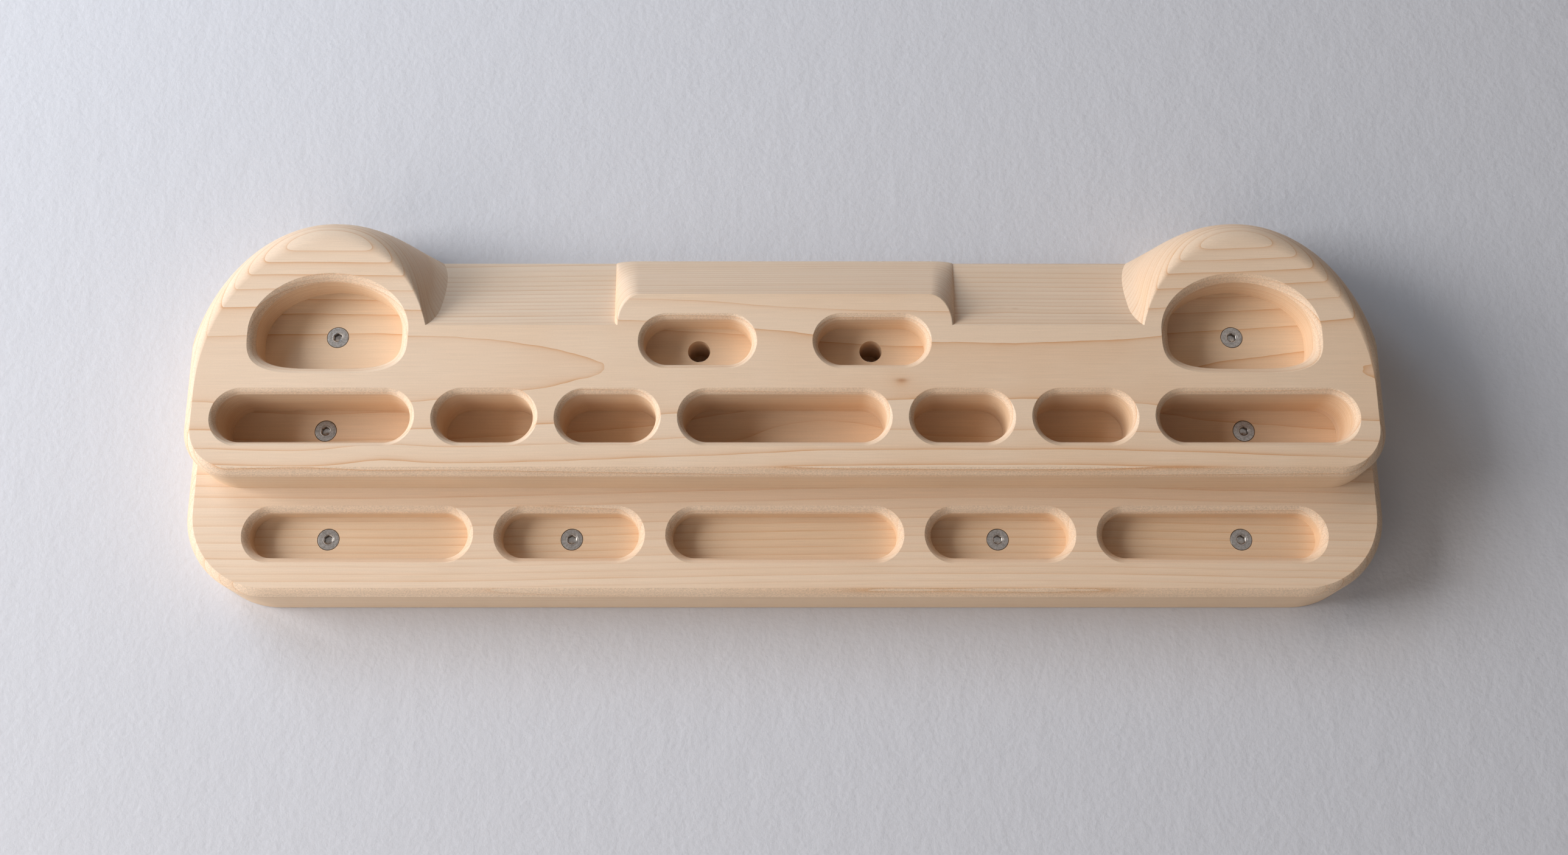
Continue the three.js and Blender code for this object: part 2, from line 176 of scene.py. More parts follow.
@dataclass
class Skin:
    """Collects the strips and flat faces of one closed surface, then welds them into a mesh."""

    points: list = field(default_factory=list)
    quads: list = field(default_factory=list)
    triangles: list = field(default_factory=list)
    count: int = 0

    def _add(self, points: np.ndarray) -> int:
        """Stores points.

        Args:
            points: [x, depth, z] points.

        Returns:
            The index of the first.
        """
        start = self.count
        self.points.append(points)
        self.count += len(points)
        return start

    def strip(self, rings: list) -> None:
        """A closed strip through rings of equal length: quads between each ring and the next.

        Args:
            rings: arrays of [x, depth, z] points, one row of quads between neighbours.
        """
        grid = np.stack(rings)
        start = self._add(grid.reshape(-1, 3))
        self.quads.append(start + grid_quads(*grid.shape[:2]))

    def flat(self, depth: float, outer: np.ndarray, holes: list) -> None:
        """A flat face at one depth, triangulated inside its outer outline and outside its holes.

        Args:
            depth: distance from the wall.
            outer: [x, z] outline.
            holes: [x, z] outlines that stay open.
        """
        loops = [outer, *holes]
        starts = np.cumsum([0] + [len(loop) for loop in loops])
        faces = [list(range(start, start + len(loop))) for start, loop in zip(starts, loops)]
        corners = [Vector(point) for point in np.vstack(loops).tolist()]
        found = delaunay_2d_cdt(corners, [], faces, TRIANGLES_OUTSIDE_HOLES, OUTLINE_SLACK)
        flat = np.array([point[:] for point in found[0]])
        start = self._add(lifted(flat, depth))
        self.triangles.append(start + np.array(found[2]))

    def mesh(self, name: str, sharp_angle: float) -> bpy.types.Object:
        """Welds the parts, points the faces outwards and returns the object.

        Args:
            name: name of the object and its mesh.
            sharp_angle: faces that meet at more than this angle, in degrees, keep a sharp edge.

        Returns:
            An object at the origin, in metres.
        """
        faces = np.vstack(self.quads).tolist()
        for triangles in self.triangles:
            faces += triangles.tolist()
        mesh = bpy.data.meshes.new(name)
        mesh.from_pydata(BOARD.place(np.vstack(self.points)).tolist(), [], faces)
        return finished(mesh, name, sharp_angle)


def finished(mesh: bpy.types.Mesh, name: str, sharp_angle: float) -> bpy.types.Object:
    """Welds a mesh, turns its faces outwards, smooths it up to an angle and links its object.

    Args:
        mesh: mesh in metres.
        name: name of the new object.
        sharp_angle: angle in degrees above which an edge stays sharp.

    Returns:
        The linked object, with weighted normals so that flat faces stay flat.
    """
    surface = bmesh.new()
    surface.from_mesh(mesh)
    bmesh.ops.remove_doubles(surface, verts=surface.verts, dist=WELD_DISTANCE)
    bmesh.ops.dissolve_degenerate(surface, edges=surface.edges, dist=LEAST_EDGE)
    bmesh.ops.recalc_face_normals(surface, faces=surface.faces)
    surface.to_mesh(mesh)
    surface.free()
    mesh.polygons.foreach_set("use_smooth", np.ones(len(mesh.polygons), bool))
    mesh.set_sharp_from_angle(angle=radians(sharp_angle))
    piece = bpy.data.objects.new(name, mesh)
    bpy.context.scene.collection.objects.link(piece)
    weighted = piece.modifiers.new("weighted", "WEIGHTED_NORMAL")
    weighted.keep_sharp = True
    return piece


def stand_for(piece: bpy.types.Object, node: str, look: bpy.types.Material) -> bpy.types.Object:
    """Gives a piece its material and puts it in the place of a CAD node on the fixed body.

    Args:
        piece: object at the origin.
        node: name of the CAD node that it replaces.
        look: the piece's material.

    Returns:
        The same object.
    """
    piece.data.materials.append(look)
    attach(piece, "root")
    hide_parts(node)
    return piece


@dataclass(frozen=True)
class UpperOutline:
    """The jugs, slopers and ridge that the upper edge of both planks is carved into."""

    valley_front: float = 136.4
    slope_rise: float = 53.7
    slope_depth: float = 46.0
    slope_crest: float = 4.0
    ridge_step: float = 17.2
    ridge_top_step: float = 1.2
    ridge_half_width: float = 86.2
    ridge_flare: float = 1.7
    ridge_flare_depth: float = 3.0
    ridge_spread: float = 4.6
    ridge_corner: float = 12.0
    front_inner_half: float = 58.0
    front_outer_half: float = 62.0
    front_rise: float = 80.0
    front_top: float = 123.4
    back_half: float = 64.0
    back_inner_rise: float = 46.5
    back_outer_rise: float = 82.0
    front_fullness: float = 0.83
    jug_depth: float = 54.0
    foot_rise: float = 10.0
    foot_spread: float = 3.8
    foot_spread_depth: float = 12.0
    roll_fullness: float = 1.35
    side_ease: float = 0.12
    jug_steps: int = 130
    ridge_steps: int = 16
    halvings: int = 40

    def bevel(self, behind: float) -> float:
        """How far the slopers have risen: a straight bevel, rounded off by a parabola at its end.

        Args:
            behind: distance behind the front face.

        Returns:
            The share of the full rise, from 0 to 1.
        """
        ahead = max(0.0, self.slope_depth + self.slope_crest - behind)
        if ahead > 2 * self.slope_crest:
            return behind / self.slope_depth
        return 1.0 - ahead * ahead / (4 * self.slope_crest * self.slope_depth)

    def slope_heights(self, behind: float) -> tuple:
        """Heights of the sloper and of the ridge, which both follow the bevel.

        Args:
            behind: distance behind the front face.

        Returns:
            The sloper's height and the ridge's.
        """
        share = self.bevel(behind)
        ridge_rise = self.slope_rise - self.ridge_step + self.ridge_top_step
        return (self.valley_front + self.slope_rise * share,
                self.valley_front + self.ridge_step + ridge_rise * share)

    def jug(self, angle: np.ndarray, behind: float) -> np.ndarray:
        """Points of the right jug: a front outline blended into a larger elliptical back one.

        The outer flank rolls over as deep as the edge round at the side and as the whole jug at
        the top, where its border with the face softens. The inner flank is a straight bevel at its
        foot, and turns into the deep roll with a power of the height.

        Args:
            angle: 0 at the inner side over the top to pi at the outer side.
            behind: distance behind the front face.

        Returns:
            [x, z] points.
        """
        up = np.sin(angle)
        across = np.abs(np.cos(angle))
        outer = angle > pi / 2
        side = np.where(outer, 1.0, -1.0)
        edge = BOARD.edge_round
        ease = up ** 2 * (1 + self.side_ease) / (up + self.side_ease)
        reach = np.where(outer, edge + (self.jug_depth - edge) * ease, self.jug_depth)
        crisp = np.where(outer, BOARD.crisp_angle * edge / reach * (1.0 - up), 0.0)
        rolled = np.where(outer, 1.0, up ** self.roll_fullness)
        share = swing(behind, reach, crisp, pi / 2 - crisp) * rolled
        share += self.bevel(behind) * (1.0 - rolled)
        full = np.where(outer, 1.0, self.front_fullness)
        half = np.where(outer, self.front_outer_half, self.front_inner_half)
        front_x = BOARD.half_width - edge - self.front_outer_half + side * half * across ** full
        front_z = BOARD.front_bottom + self.front_top - self.front_rise * (1 - up ** full)
        rise = np.where(outer, self.back_outer_rise, self.back_inner_rise)
        back_x = BOARD.half_width - self.back_half + side * self.back_half * across
        back_z = BOARD.height - rise * (1 - up)
        return np.column_stack([front_x + (back_x - front_x) * share,
                                front_z + (back_z - front_z) * share])

    def foot_angle(self, behind: float) -> float:
        """The angle at which the jug's inner flank meets the sloper, by halving.

        Args:
            behind: distance behind the front face.

        Returns:
            The jug's angle there, between 0 and a quarter turn.
        """
        valley = self.slope_heights(behind)[0]
        low, high = 0.0, pi / 2
        for _ in range(self.halvings):
            middle = (low + high) / 2
            if self.jug(np.array([middle]), behind)[0, 1] > valley:
                high = middle
            else:
                low = middle
        return high

    def right_half(self, behind: float) -> np.ndarray:
        """The jug from its outer side to its foot, then the rounded end of the ridge.

        The foot spreads towards the sloper by the square of what is left of its rise.

        Args:
            behind: distance behind the front face.

        Returns:
            [x, z] points.
        """
        valley, ridge = self.slope_heights(behind)
        angle = np.linspace(pi, self.foot_angle(behind), self.jug_steps + 1)
        jug = self.jug(angle, behind)
        near = np.clip(1.0 - (jug[:, 1] - valley) / self.foot_rise, 0.0, 1.0)
        near = np.where(angle < pi / 2, near, 0.0)
        ahead = max(0.0, 1.0 - behind / self.foot_spread_depth)
        jug[:, 0] -= self.foot_spread * (1.0 - ahead ** 2) * near ** 2
        flare = self.ridge_flare * swing(behind, self.ridge_flare_depth)
        end = self.ridge_half_width + flare + self.ridge_spread * self.bevel(behind)
        turn = quarter(self.ridge_steps)
        ridge_end = np.column_stack([end - self.ridge_corner * (1 - np.cos(turn)),
                                     valley + (ridge - valley) * np.sin(turn)])
        return np.vstack([jug, ridge_end])


@dataclass(frozen=True)
class Pocket:
    """One finger pocket, sunk from a face, with a rounded lip between two crisp edges."""

    x: float
    z: float
    width: float
    height: float
    face: float
    floor: float
    lip: float
    shape: PocketShape = PocketShape.SLOT
    arch_drop: float = 23.3
    arch_fullness: float = 0.55
    end_steps: int = 32
    lip_steps: int = 9

    def outline(self, inset: float) -> np.ndarray:
        """The pocket's [x, z] outline, drawn in by the inset.

        A slot is two half circles joined by straight lines. An arch is a half ellipse whose lower
        half has its cosine and sine raised to the fullness, which squares it.

        Args:
            inset: distance from the pocket's full outline inwards.

        Returns:
            The closed outline.
        """
        if self.shape is PocketShape.SLOT:
            turn = np.linspace(-pi / 2, pi / 2, self.end_steps + 1)
            radius = self.height / 2 - inset
            straight = (self.width - self.height) / 2
            end = np.column_stack([straight + radius * np.cos(turn), radius * np.sin(turn)])
            return np.vstack([end, -end]) + [self.x, self.z]
        turn = full_turn(4 * self.end_steps)
        cosine, sine = np.cos(turn), np.sin(turn)
        upper = sine > 0
        full = np.where(upper, 1.0, self.arch_fullness)
        rise = np.where(upper, self.height - self.arch_drop, self.arch_drop) - inset
        across = (self.width / 2 - inset) * np.sign(cosine) * np.abs(cosine) ** full
        return np.column_stack([self.x + across, self.z + rise * np.sign(sine) * np.abs(sine) ** full])

    def walls(self, skin: Skin, end: float) -> None:
        """Adds the lip, a short arc from the face into the wall, and the wall to a depth.

        Args:
            skin: surface that takes them.
            end: depth at which the wall ends.
        """
        crisp = BOARD.crisp_angle
        depths = self.lip * np.linspace(0.0, 1.0, self.lip_steps + 1)
        rings = [lifted(self.outline(self.lip * swing(depth, self.lip, crisp, pi / 2 - crisp)),
                        self.face - depth) for depth in depths]
        skin.strip([*rings, lifted(self.outline(self.lip), end)])

    def bottom(self, skin: Skin, bores: list) -> None:
        """Adds the pocket's floor, open where a bore starts from it.

        Args:
            skin: surface that takes it.
            bores: bores in this pocket or elsewhere on the plank.
        """
        holes = [bore.ring(0) for bore in bores
                 if abs(bore.x - self.x) < self.width / 2 and abs(bore.z - self.z) < self.height / 2]
        skin.flat(self.floor, self.outline(self.lip), holes)


@dataclass(frozen=True)
class Bore:
    """A turned hole: radii and the depths that they are at, from its mouth inwards."""

    x: float
    z: float
    radii: tuple
    depths: tuple

    @classmethod
    def straight(cls, x: float, z: float, radius: float, start: float, end: float) -> "Bore":
        """A bore of one radius between two depths."""
        return cls(x, z, (radius, radius), (start, end))

    def ring(self, index: int) -> np.ndarray:
        """The [x, z] circle at one step of the bore."""
        return circle(self.x, self.z, self.radii[index])

    def walls(self, skin: Skin) -> None:
        """Adds the bore's wall, a circle carried through its radii and depths."""
        skin.strip([lifted(self.ring(i), depth) for i, depth in enumerate(self.depths)])


@dataclass(frozen=True)
class Layout:
    """Where the pockets, screws and dowels sit on both planks.

    A spot, screw or dowel is (x, z) on the right half. The row's and the low pockets are
    (x, width) at one height, and a size of two numbers is (width, height).
    """

    row_height: float = 87.0
    row_size: float = 31.0
    row_pockets: tuple = ((0.0, 109.7), (90.3, 54.5), (153.0, 54.5), (240.7, 104.5))
    low_height: float = 31.9
    low_size: float = 30.4
    low_pockets: tuple = ((0.0, 123.0), (110.9, 78.0), (220.0, 119.4))
    ridge_spot: tuple = (45.0, 128.0)
    ridge_size: tuple = (61.5, 30.2)
    arch_spot: tuple = (235.8, 133.4)
    arch_size: tuple = (83.0, 55.3)
    front_lip: float = 2.7
    low_lip: float = 3.4
    arch_lip: float = 3.8
    jug_screw: tuple = (235.8, 136.7)
    row_screw: tuple = (241.7, 88.8)
    low_outer_screw: tuple = (237.8, 31.9)
    low_inner_screw: tuple = (110.9, 31.9)
    valley_dowel: tuple = (140.25, 119.45)
    middle_dowel: tuple = (58.95, 64.05)
    end_dowel: tuple = (184.35, 64.05)
    low_floor: float = 21.0
    row_floor: float = 28.0
    arch_floor: float = 40.0
    ridge_floor: float = 42.5
    spare_seat: float = 18.0
    seat_radius: float = 5.85
    bore_radius: float = 3.25
    seat_rim: float = 1.05
    dowel_radius: float = 4.3
    dowel_reach: float = 15.3
    dowel_chamfer: float = 1.0

    def line_up(self, spots: tuple, z: float, size: float, face: float, floor: float, lip: float) -> list:
        """A line of slots, one in the middle and the others on both sides.

        Args:
            spots: (x, width) of each slot on the right half.
            z: height of the line.
            size: each slot's height.
            face: depth of the face that they are sunk from.
            floor: depth of their floors.
            lip: reach of their lips.

        Returns:
            The pockets, each right one before its left one.
        """
        return [Pocket(sign * x, z, width, size, face, floor, lip)
                for x, width in spots for sign in ((1, -1) if x else (1,))]

    def row(self) -> list:
        """The seven deep pockets of the row, which run through the front plank."""
        return self.line_up(self.row_pockets, self.row_height, self.row_size, BOARD.depth,
                            self.row_floor, self.front_lip)

    def low(self) -> list:
        """The five shallow pockets of the back plank."""
        return self.line_up(self.low_pockets, self.low_height, self.low_size, BOARD.back_thickness,
                            self.low_floor, self.low_lip)

    def ridge(self) -> list:
        """The two pockets under the ridge."""
        x, z = self.ridge_spot
        return [Pocket(s.value * x, z, *self.ridge_size, BOARD.depth, self.ridge_floor, self.front_lip)
                for s in Side]

    def arches(self) -> list:
        """The arched pockets in the jugs."""
        x, z = self.arch_spot
        return [Pocket(s.value * x, z, *self.arch_size, BOARD.depth, self.arch_floor, self.arch_lip,
                       PocketShape.ARCH) for s in Side]

    def screws(self) -> dict:
        """Each screw's node name with its (x, z, floor)."""
        spots = {"jug": (*self.jug_screw, self.arch_floor), "row": (*self.row_screw, self.row_floor),
                 "low_outer": (*self.low_outer_screw, self.low_floor),
                 "low_inner": (*self.low_inner_screw, self.low_floor)}
        return {f"screw_{name}_{s.name.lower()}": (s.value * x, z, floor)
                for name, (x, z, floor) in spots.items() for s in Side}

    def dowels(self) -> dict:
        """Each dowel's node name with its (x, z)."""
        spots = {"valley": self.valley_dowel, "middle": self.middle_dowel, "end": self.end_dowel}
        return {f"dowel_{name}_{s.name.lower()}": (s.value * x, z)
                for name, (x, z) in spots.items() for s in Side}

    def screw_bore(self, x: float, z: float, floor: float, end: float) -> Bore:
        """A screw's countersunk seat and clear bore.

        Args:
            x: the screw's x.
            z: the screw's height.
            floor: depth of the pocket floor that it starts from.
            end: depth at which it ends.

        Returns:
            The bore: a short rim, a cone at 45 degrees and the clear hole.
        """
        rim = floor - self.seat_rim
        foot = rim - (self.seat_radius - self.bore_radius)
        return Bore(x, z, (self.seat_radius, self.seat_radius, self.bore_radius, self.bore_radius),
                    (floor, rim, foot, end))

    def dowel_hole(self, skin: Skin, x: float, z: float, way: int) -> None:
        """Adds a blind dowel hole from the glue line.

        Args:
            skin: surface that takes it.
            x: the dowel's x.
            z: the dowel's height.
            way: 1 towards the climber and -1 towards the wall.
        """
        glue = BOARD.back_thickness
        tip = self.dowel_radius - self.dowel_chamfer
        shoulder = self.dowel_reach - self.dowel_chamfer
        Bore(x, z, (self.dowel_radius, self.dowel_radius, tip),
             (glue, glue + way * shoulder, glue + way * self.dowel_reach)).walls(skin)
        skin.flat(glue + way * self.dowel_reach, circle(x, z, tip), [])


LAYOUT = Layout()


@dataclass
class Plank:
    """What both planks share: slices through the carved outline and the welding into a piece."""

    upper: UpperOutline = field(default_factory=UpperOutline)
    corner_steps: int = 22
    edge_steps: int = 12
    jug_slices: int = 40
    crest_steps: int = 9
    least_slice: float = 0.02
    sharp_angle: float = 14.0

    def slices(self, start: float, end: float) -> np.ndarray:
        """Distances behind the front face, closer together where the edge, jugs and slopers turn.

        Args:
            start: distance of the plank's own face.
            end: distance of its back.

        Returns:
            The distances in order, both ends included.
        """
        edge = start + BOARD.edge_round * (1 - np.cos(quarter(self.edge_steps)))
        jug = self.upper.jug_depth * (1 - np.cos(quarter(self.jug_slices)))
        crest = self.upper.slope_depth + self.upper.slope_crest * np.linspace(-1.0, 1.0, self.crest_steps)
        inner = np.sort(np.concatenate([edge, jug, crest]))
        inner = inner[(inner > start + self.least_slice) & (inner < end - self.least_slice)]
        inner = inner[np.diff(inner, prepend=start) > self.least_slice]
        return np.concatenate([[start], inner, [end]])

    def inset(self, behind: float) -> float:
        """How far the plank's edge is drawn in at a distance behind its own face."""
        crisp = BOARD.crisp_angle
        return BOARD.edge_round * (1 - swing(behind, BOARD.edge_round, crisp, pi / 2 - crisp))

    def ring(self, behind: float, bottom: float, corner: float, inset: float, spread: float,
             stops: list) -> np.ndarray:
        """One slice of the plank as an [x, z] outline.

        A quarter circle at the bottom corner and the side are moved out by the spread and drawn in
        by the inset, which both fade over the side stops. The carved upper half outline follows, and
        all is mirrored in X.

        Args:
            behind: distance behind the front face.
            bottom: height of the plank's bottom edge.
            corner: corner radius before the inset.
            inset: how far the edge is drawn in.
            spread: how far the side stands out past the board's half width.
            stops: (height, share of the spread and inset) pairs up the side.

        Returns:
            The closed outline.
        """
        turn = quarter(self.corner_steps)
        radius = corner - inset
        corner_points = np.column_stack([BOARD.half_width + spread - corner + radius * np.sin(turn),
                                         bottom + corner - radius * np.cos(turn)])
        side = [[BOARD.half_width + (spread - inset) * share, z] for z, share in stops]
        right = np.vstack([corner_points, *side, self.upper.right_half(behind)])
        return np.vstack([right, right[::-1] * [-1, 1]])

    def dress(self, skin: Skin, name: str, node: str, slot: str, finish: "SawnWood") -> bpy.types.Object:
        """Welds the skin into a piece that stands for a CAD node."""
        return stand_for(skin.mesh(name, self.sharp_angle), node, finish.material())


@dataclass
class FrontPlank(Plank):
    """The plank with the jugs, slopers, ridge and deep pockets, rounded all round its face."""

    def outline(self, behind: float) -> np.ndarray:
        """The plank's outline at a distance behind its face."""
        return self.ring(behind, BOARD.front_bottom, BOARD.front_corner, self.inset(behind), 0.0, [])

    def build(self, finish: "SawnWood") -> bpy.types.Object:
        """Builds the plank with its pockets, bores and dowel holes.

        Args:
            finish: the wood that it is cut from.

        Returns:
            The plank.
        """
        skin = Skin()
        glue = BOARD.back_thickness
        cuts = self.slices(0.0, BOARD.front_thickness)
        skin.strip([lifted(self.outline(b), BOARD.depth - b) for b in cuts])
        row, ridge, arches = LAYOUT.row(), LAYOUT.ridge(), LAYOUT.arches()
        skin.flat(BOARD.depth, self.outline(0.0), [p.outline(0.0) for p in [*row, *ridge, *arches]])
        for pocket in row:
            pocket.walls(skin, glue)
        bores = [Bore.straight(p.x, p.z, LAYOUT.seat_radius, p.floor, glue) for p in ridge]
        bores += [LAYOUT.screw_bore(x, z, floor, glue) for x, z, floor in LAYOUT.screws().values()
                  if floor > glue]
        for pocket, bore in zip([*ridge, *arches], bores):
            pocket.walls(skin, pocket.floor)
            bore.walls(skin)
            pocket.bottom(skin, [bore])
        through = [p.outline(p.lip) for p in row] + [b.ring(-1) for b in bores]
        for x, z in LAYOUT.dowels().values():
            LAYOUT.dowel_hole(skin, x, z, 1)
            through.append(circle(x, z, LAYOUT.dowel_radius))
        skin.flat(glue, self.outline(BOARD.front_thickness), through)
        return self.dress(skin, "front_plank", "front_board", "maple_front", finish)


@dataclass
class BackPlank(Plank):
    """The plank on the wall, with the shallow pockets. Its round shows below the front plank."""

    side_spread: float = 3.5
    side_run_out: float = 35.0

    def outline(self, behind: float) -> np.ndarray:
        """The plank's outline at one depth.

        Args:
            behind: distance behind the board's front face.

        Returns:
            The closed outline.
        """
        inset = self.inset(behind - BOARD.front_thickness)
        start = BOARD.front_bottom + BOARD.front_corner
        stops = [(start, 1.0), (start + self.side_run_out, 0.0)]
        return self.ring(behind, 0.0, BOARD.back_corner, inset, self.side_spread, stops)

    def build(self, finish: "SawnWood") -> bpy.types.Object:
        """Builds the plank with its pockets, bores and dowel holes.

        Args:
            finish: the wood that it is cut from.

        Returns:
            The plank.
        """
        skin = Skin()
        glue = BOARD.back_thickness
        cuts = self.slices(BOARD.front_thickness, BOARD.depth)
        skin.strip([lifted(self.outline(b), BOARD.depth - b) for b in cuts])
        row, low = LAYOUT.row(), LAYOUT.low()
        face = [p.outline(p.lip) for p in row] + [p.outline(0.0) for p in low]
        back = []
        seats = []
        for x, z, floor in LAYOUT.screws().values():
            if floor > glue:
                bore = Bore.straight(x, z, LAYOUT.bore_radius, glue, 0.0)
                face.append(bore.ring(0))
            else:
                bore = LAYOUT.screw_bore(x, z, floor, 0.0)
                seats.append(bore)
            bore.walls(skin)
            back.append(bore.ring(-1))
        for pocket in row:
            outline = pocket.outline(pocket.lip)
            skin.strip([lifted(outline, glue), lifted(outline, pocket.floor)])
            pocket.bottom(skin, seats)
        for pocket in low:
            pocket.walls(skin, pocket.floor)
            pocket.bottom(skin, seats)
        for pocket in LAYOUT.ridge():
            seat = Bore.straight(pocket.x, pocket.z, LAYOUT.seat_radius, glue, LAYOUT.spare_seat)
            bore = Bore.straight(pocket.x, pocket.z, LAYOUT.bore_radius, LAYOUT.spare_seat, 0.0)
            seat.walls(skin)
            bore.walls(skin)
            skin.flat(LAYOUT.spare_seat, seat.ring(1), [bore.ring(0)])
            face.append(seat.ring(0))
            back.append(bore.ring(1))
        for x, z in LAYOUT.dowels().values():
            LAYOUT.dowel_hole(skin, x, z, -1)
            face.append(circle(x, z, LAYOUT.dowel_radius))
        skin.flat(glue, self.outline(BOARD.front_thickness), face)
        skin.flat(0.0, self.outline(BOARD.depth), back)
        return self.dress(skin, "back_plank", "back_board", "maple_back", finish)


@dataclass(frozen=True)
class Turning:
    """A turned or threaded piece: radii on a grid of angle and distance along its axis."""

    columns: int = 48
    sharp_angle: float = 28.0

    def turned(self, name: str, x: float, z: float, along: np.ndarray,
               radius: np.ndarray) -> bpy.types.Object:
        """Carries rows of radii along an axis that runs into the wall, and closes both ends.

        Point (i, j) lies at radius[i, j] from the axis, at the j-th angle and the i-th depth.

        Args:
            name: name of the object.
            x: the axis's x.
            z: the axis's height.
            along: depth of each row from the wall.
            radius: one row of radii for each depth.

        Returns:
            The object, with the grid's radius, turn and depth kept as the attribute "turned".
        """
        turn = full_turn(self.columns)
        depth = np.broadcast_to(along[:, None], radius.shape)
        points = np.stack([x + radius * np.cos(turn), depth, z + radius * np.sin(turn)], axis=-1)
        last = (len(along) - 1) * self.columns
        caps = [list(range(self.columns)), list(range(last, last + self.columns))]
        mesh = bpy.data.meshes.new(name)
        faces = grid_quads(len(along), self.columns).tolist() + caps
        mesh.from_pydata(BOARD.place(points).tolist(), [], faces)
        grid = np.stack([radius, np.broadcast_to(turn, radius.shape), depth], axis=-1)
        attribute = mesh.attributes.new("turned", "FLOAT_VECTOR", "POINT")
        attribute.data.foreach_set("vector", grid.astype(np.float32).ravel())
        return finished(mesh, name, self.sharp_angle)


@dataclass(frozen=True)
class Screw(Turning):
    """A countersunk wood screw with a hexagon socket.

    The face rows are (distance behind the head's face, radius), from the socket's rim over a
    shallow turned groove to the head's rounded edge.
    """

    head_radius: float = 5.6
    head_rim: float = 0.8
    head_round: float = 0.28
    face_rows: tuple = ((0.0, 2.62), (0.0, 2.8), (0.06, 2.95), (0.06, 3.1), (0.0, 3.2),
                        (0.0, 5.3), (0.05, 5.47), (0.16, 5.57))
    across_flats: float = 4.0
    socket_depth: float = 2.6
    socket_round: float = 0.15
    socket_draft: float = 0.97
    drill_point: float = 0.4
    drill_tip_radius: float = 0.12
    drill_radius: float = 1.5
    bevel_depth: float = 0.38
    bevel_middle: float = 0.12
    bevel_radius: float = 2.5
    bevel_roundness: float = 0.65
    shank_radius: float = 2.15
    shank_length: float = 30.0
    shank_end: float = 1.0
    root_radius: float = 1.95
    thread_radius: float = 3.0
    thread_start: float = 2.0
    crest_half_width: float = 0.8
    tip_length: float = 6.0
    tip_share: float = 0.06
    length: float = 70.0
    pitch: float = 3.0
    rows_per_pitch: int = 10

    def socket(self) -> list:
        """Rows of the hexagon socket, from the drilled point in its middle to its bevel.

        Its rows follow a hexagon, half the width across flats over the cosine of the angle to the
        nearest flat. In the bevel's middle row it has turned mostly into a circle.

        Returns:
            (distance behind the head's face, radii) pairs.
        """
        turn = full_turn(self.columns)
        nearest = (turn + pi / 6) % (pi / 3) - pi / 6
        hexagon = self.across_flats / 2 / np.cos(nearest)
        deep = self.socket_depth
        bevelled = hexagon * (1 - self.bevel_roundness) + self.bevel_roundness * self.bevel_radius
        return [(deep + self.drill_point, self.drill_tip_radius), (deep, self.drill_radius),
                (deep - self.socket_round / 3, hexagon * self.socket_draft),
                (deep - self.socket_round, hexagon), (self.bevel_depth, hexagon),
                (self.bevel_middle, bevelled)]

    def thread(self, behind: np.ndarray) -> np.ndarray:
        """Radii of the threaded end.

        The crest stands at the fraction one half of distance over pitch minus turn, and falls off
        in a straight line on both sides. The thread rises from the shank and tapers to the tip.

        Args:
            behind: distances behind the head's face.

        Returns:
            One row of radii for each distance.
        """
        turn = full_turn(self.columns)
        phase = (behind[:, None] / self.pitch - turn / (2 * pi)) % 1.0
        crest = np.clip(1.0 - np.abs(phase - 0.5) * self.pitch / self.crest_half_width, 0.0, 1.0)
        taper = np.clip((self.length - behind) / self.tip_length, self.tip_share, 1.0)[:, None]
        start = np.clip((behind - self.shank_length) / self.thread_start, 0.0, 1.0)[:, None]
        height = (self.thread_radius - self.root_radius) * start
        return (self.root_radius + height * crest) * taper

    def build(self, node: str, x: float, z: float, floor: float, finish: "TurnedSteel") -> bpy.types.Object:
        """Builds one screw whose head lies flush with a pocket floor.

        Args:
            node: name of the CAD node that it stands for.
            x: the screw's x.
            z: the screw's height.
            floor: depth of the pocket floor.
            finish: the steel that it is turned from.

        Returns:
            The screw.
        """
        neck = self.head_rim + self.head_radius - self.shank_radius
        rows = [*self.socket(), *self.face_rows, (self.head_round, self.head_radius),
                (self.head_rim, self.head_radius), (neck, self.shank_radius),
                (self.shank_length - self.shank_end, self.shank_radius)]
        smooth = np.stack([np.broadcast_to(radius, self.columns) for _, radius in rows])
        count = int((self.length - self.shank_length) / self.pitch * self.rows_per_pitch)
        threaded = np.linspace(self.shank_length, self.length, count)
        behind = np.concatenate([[distance for distance, _ in rows], threaded])
        radius = np.vstack([smooth, self.thread(threaded)])
        piece = self.turned(f"wood_{node}", x, z, floor - behind, radius)
        return stand_for(piece, node, finish.material())


@dataclass(frozen=True)
class Dowel(Turning):
    """A fluted beech dowel across the glue line."""

    columns: int = 120
    sharp_angle: float = 40.0
    radius: float = 4.0
    length: float = 30.0
    chamfer: float = 1.0
    end_margin: float = 2.0
    middle_rows: int = 9
    flutes: int = 20
    flute_depth: float = 0.3

    def build(self, node: str, x: float, z: float, finish: "SawnWood") -> bpy.types.Object:
        """Builds one dowel: a cylinder whose radius dips in a raised cosine at each flute.

        Args:
            node: name of the CAD node that it stands for.
            x: the dowel's x.
            z: the dowel's height.
            finish: the wood that it is cut from.

        Returns:
            The dowel.
        """
        half = self.length / 2
        middle = np.linspace(half - self.end_margin, self.end_margin - half, self.middle_rows)
        along = np.array([half, half - self.chamfer, *middle, self.chamfer - half, -half])
        base = np.full(len(along), self.radius)
        base[[0, -1]] -= self.chamfer
        dip = self.flute_depth * (0.5 - 0.5 * np.cos(full_turn(self.columns) * self.flutes)) ** 2
        piece = self.turned(f"fluted_{node}", x, z, BOARD.back_thickness + along, base[:, None] - dip)
        return stand_for(piece, node, finish.material())


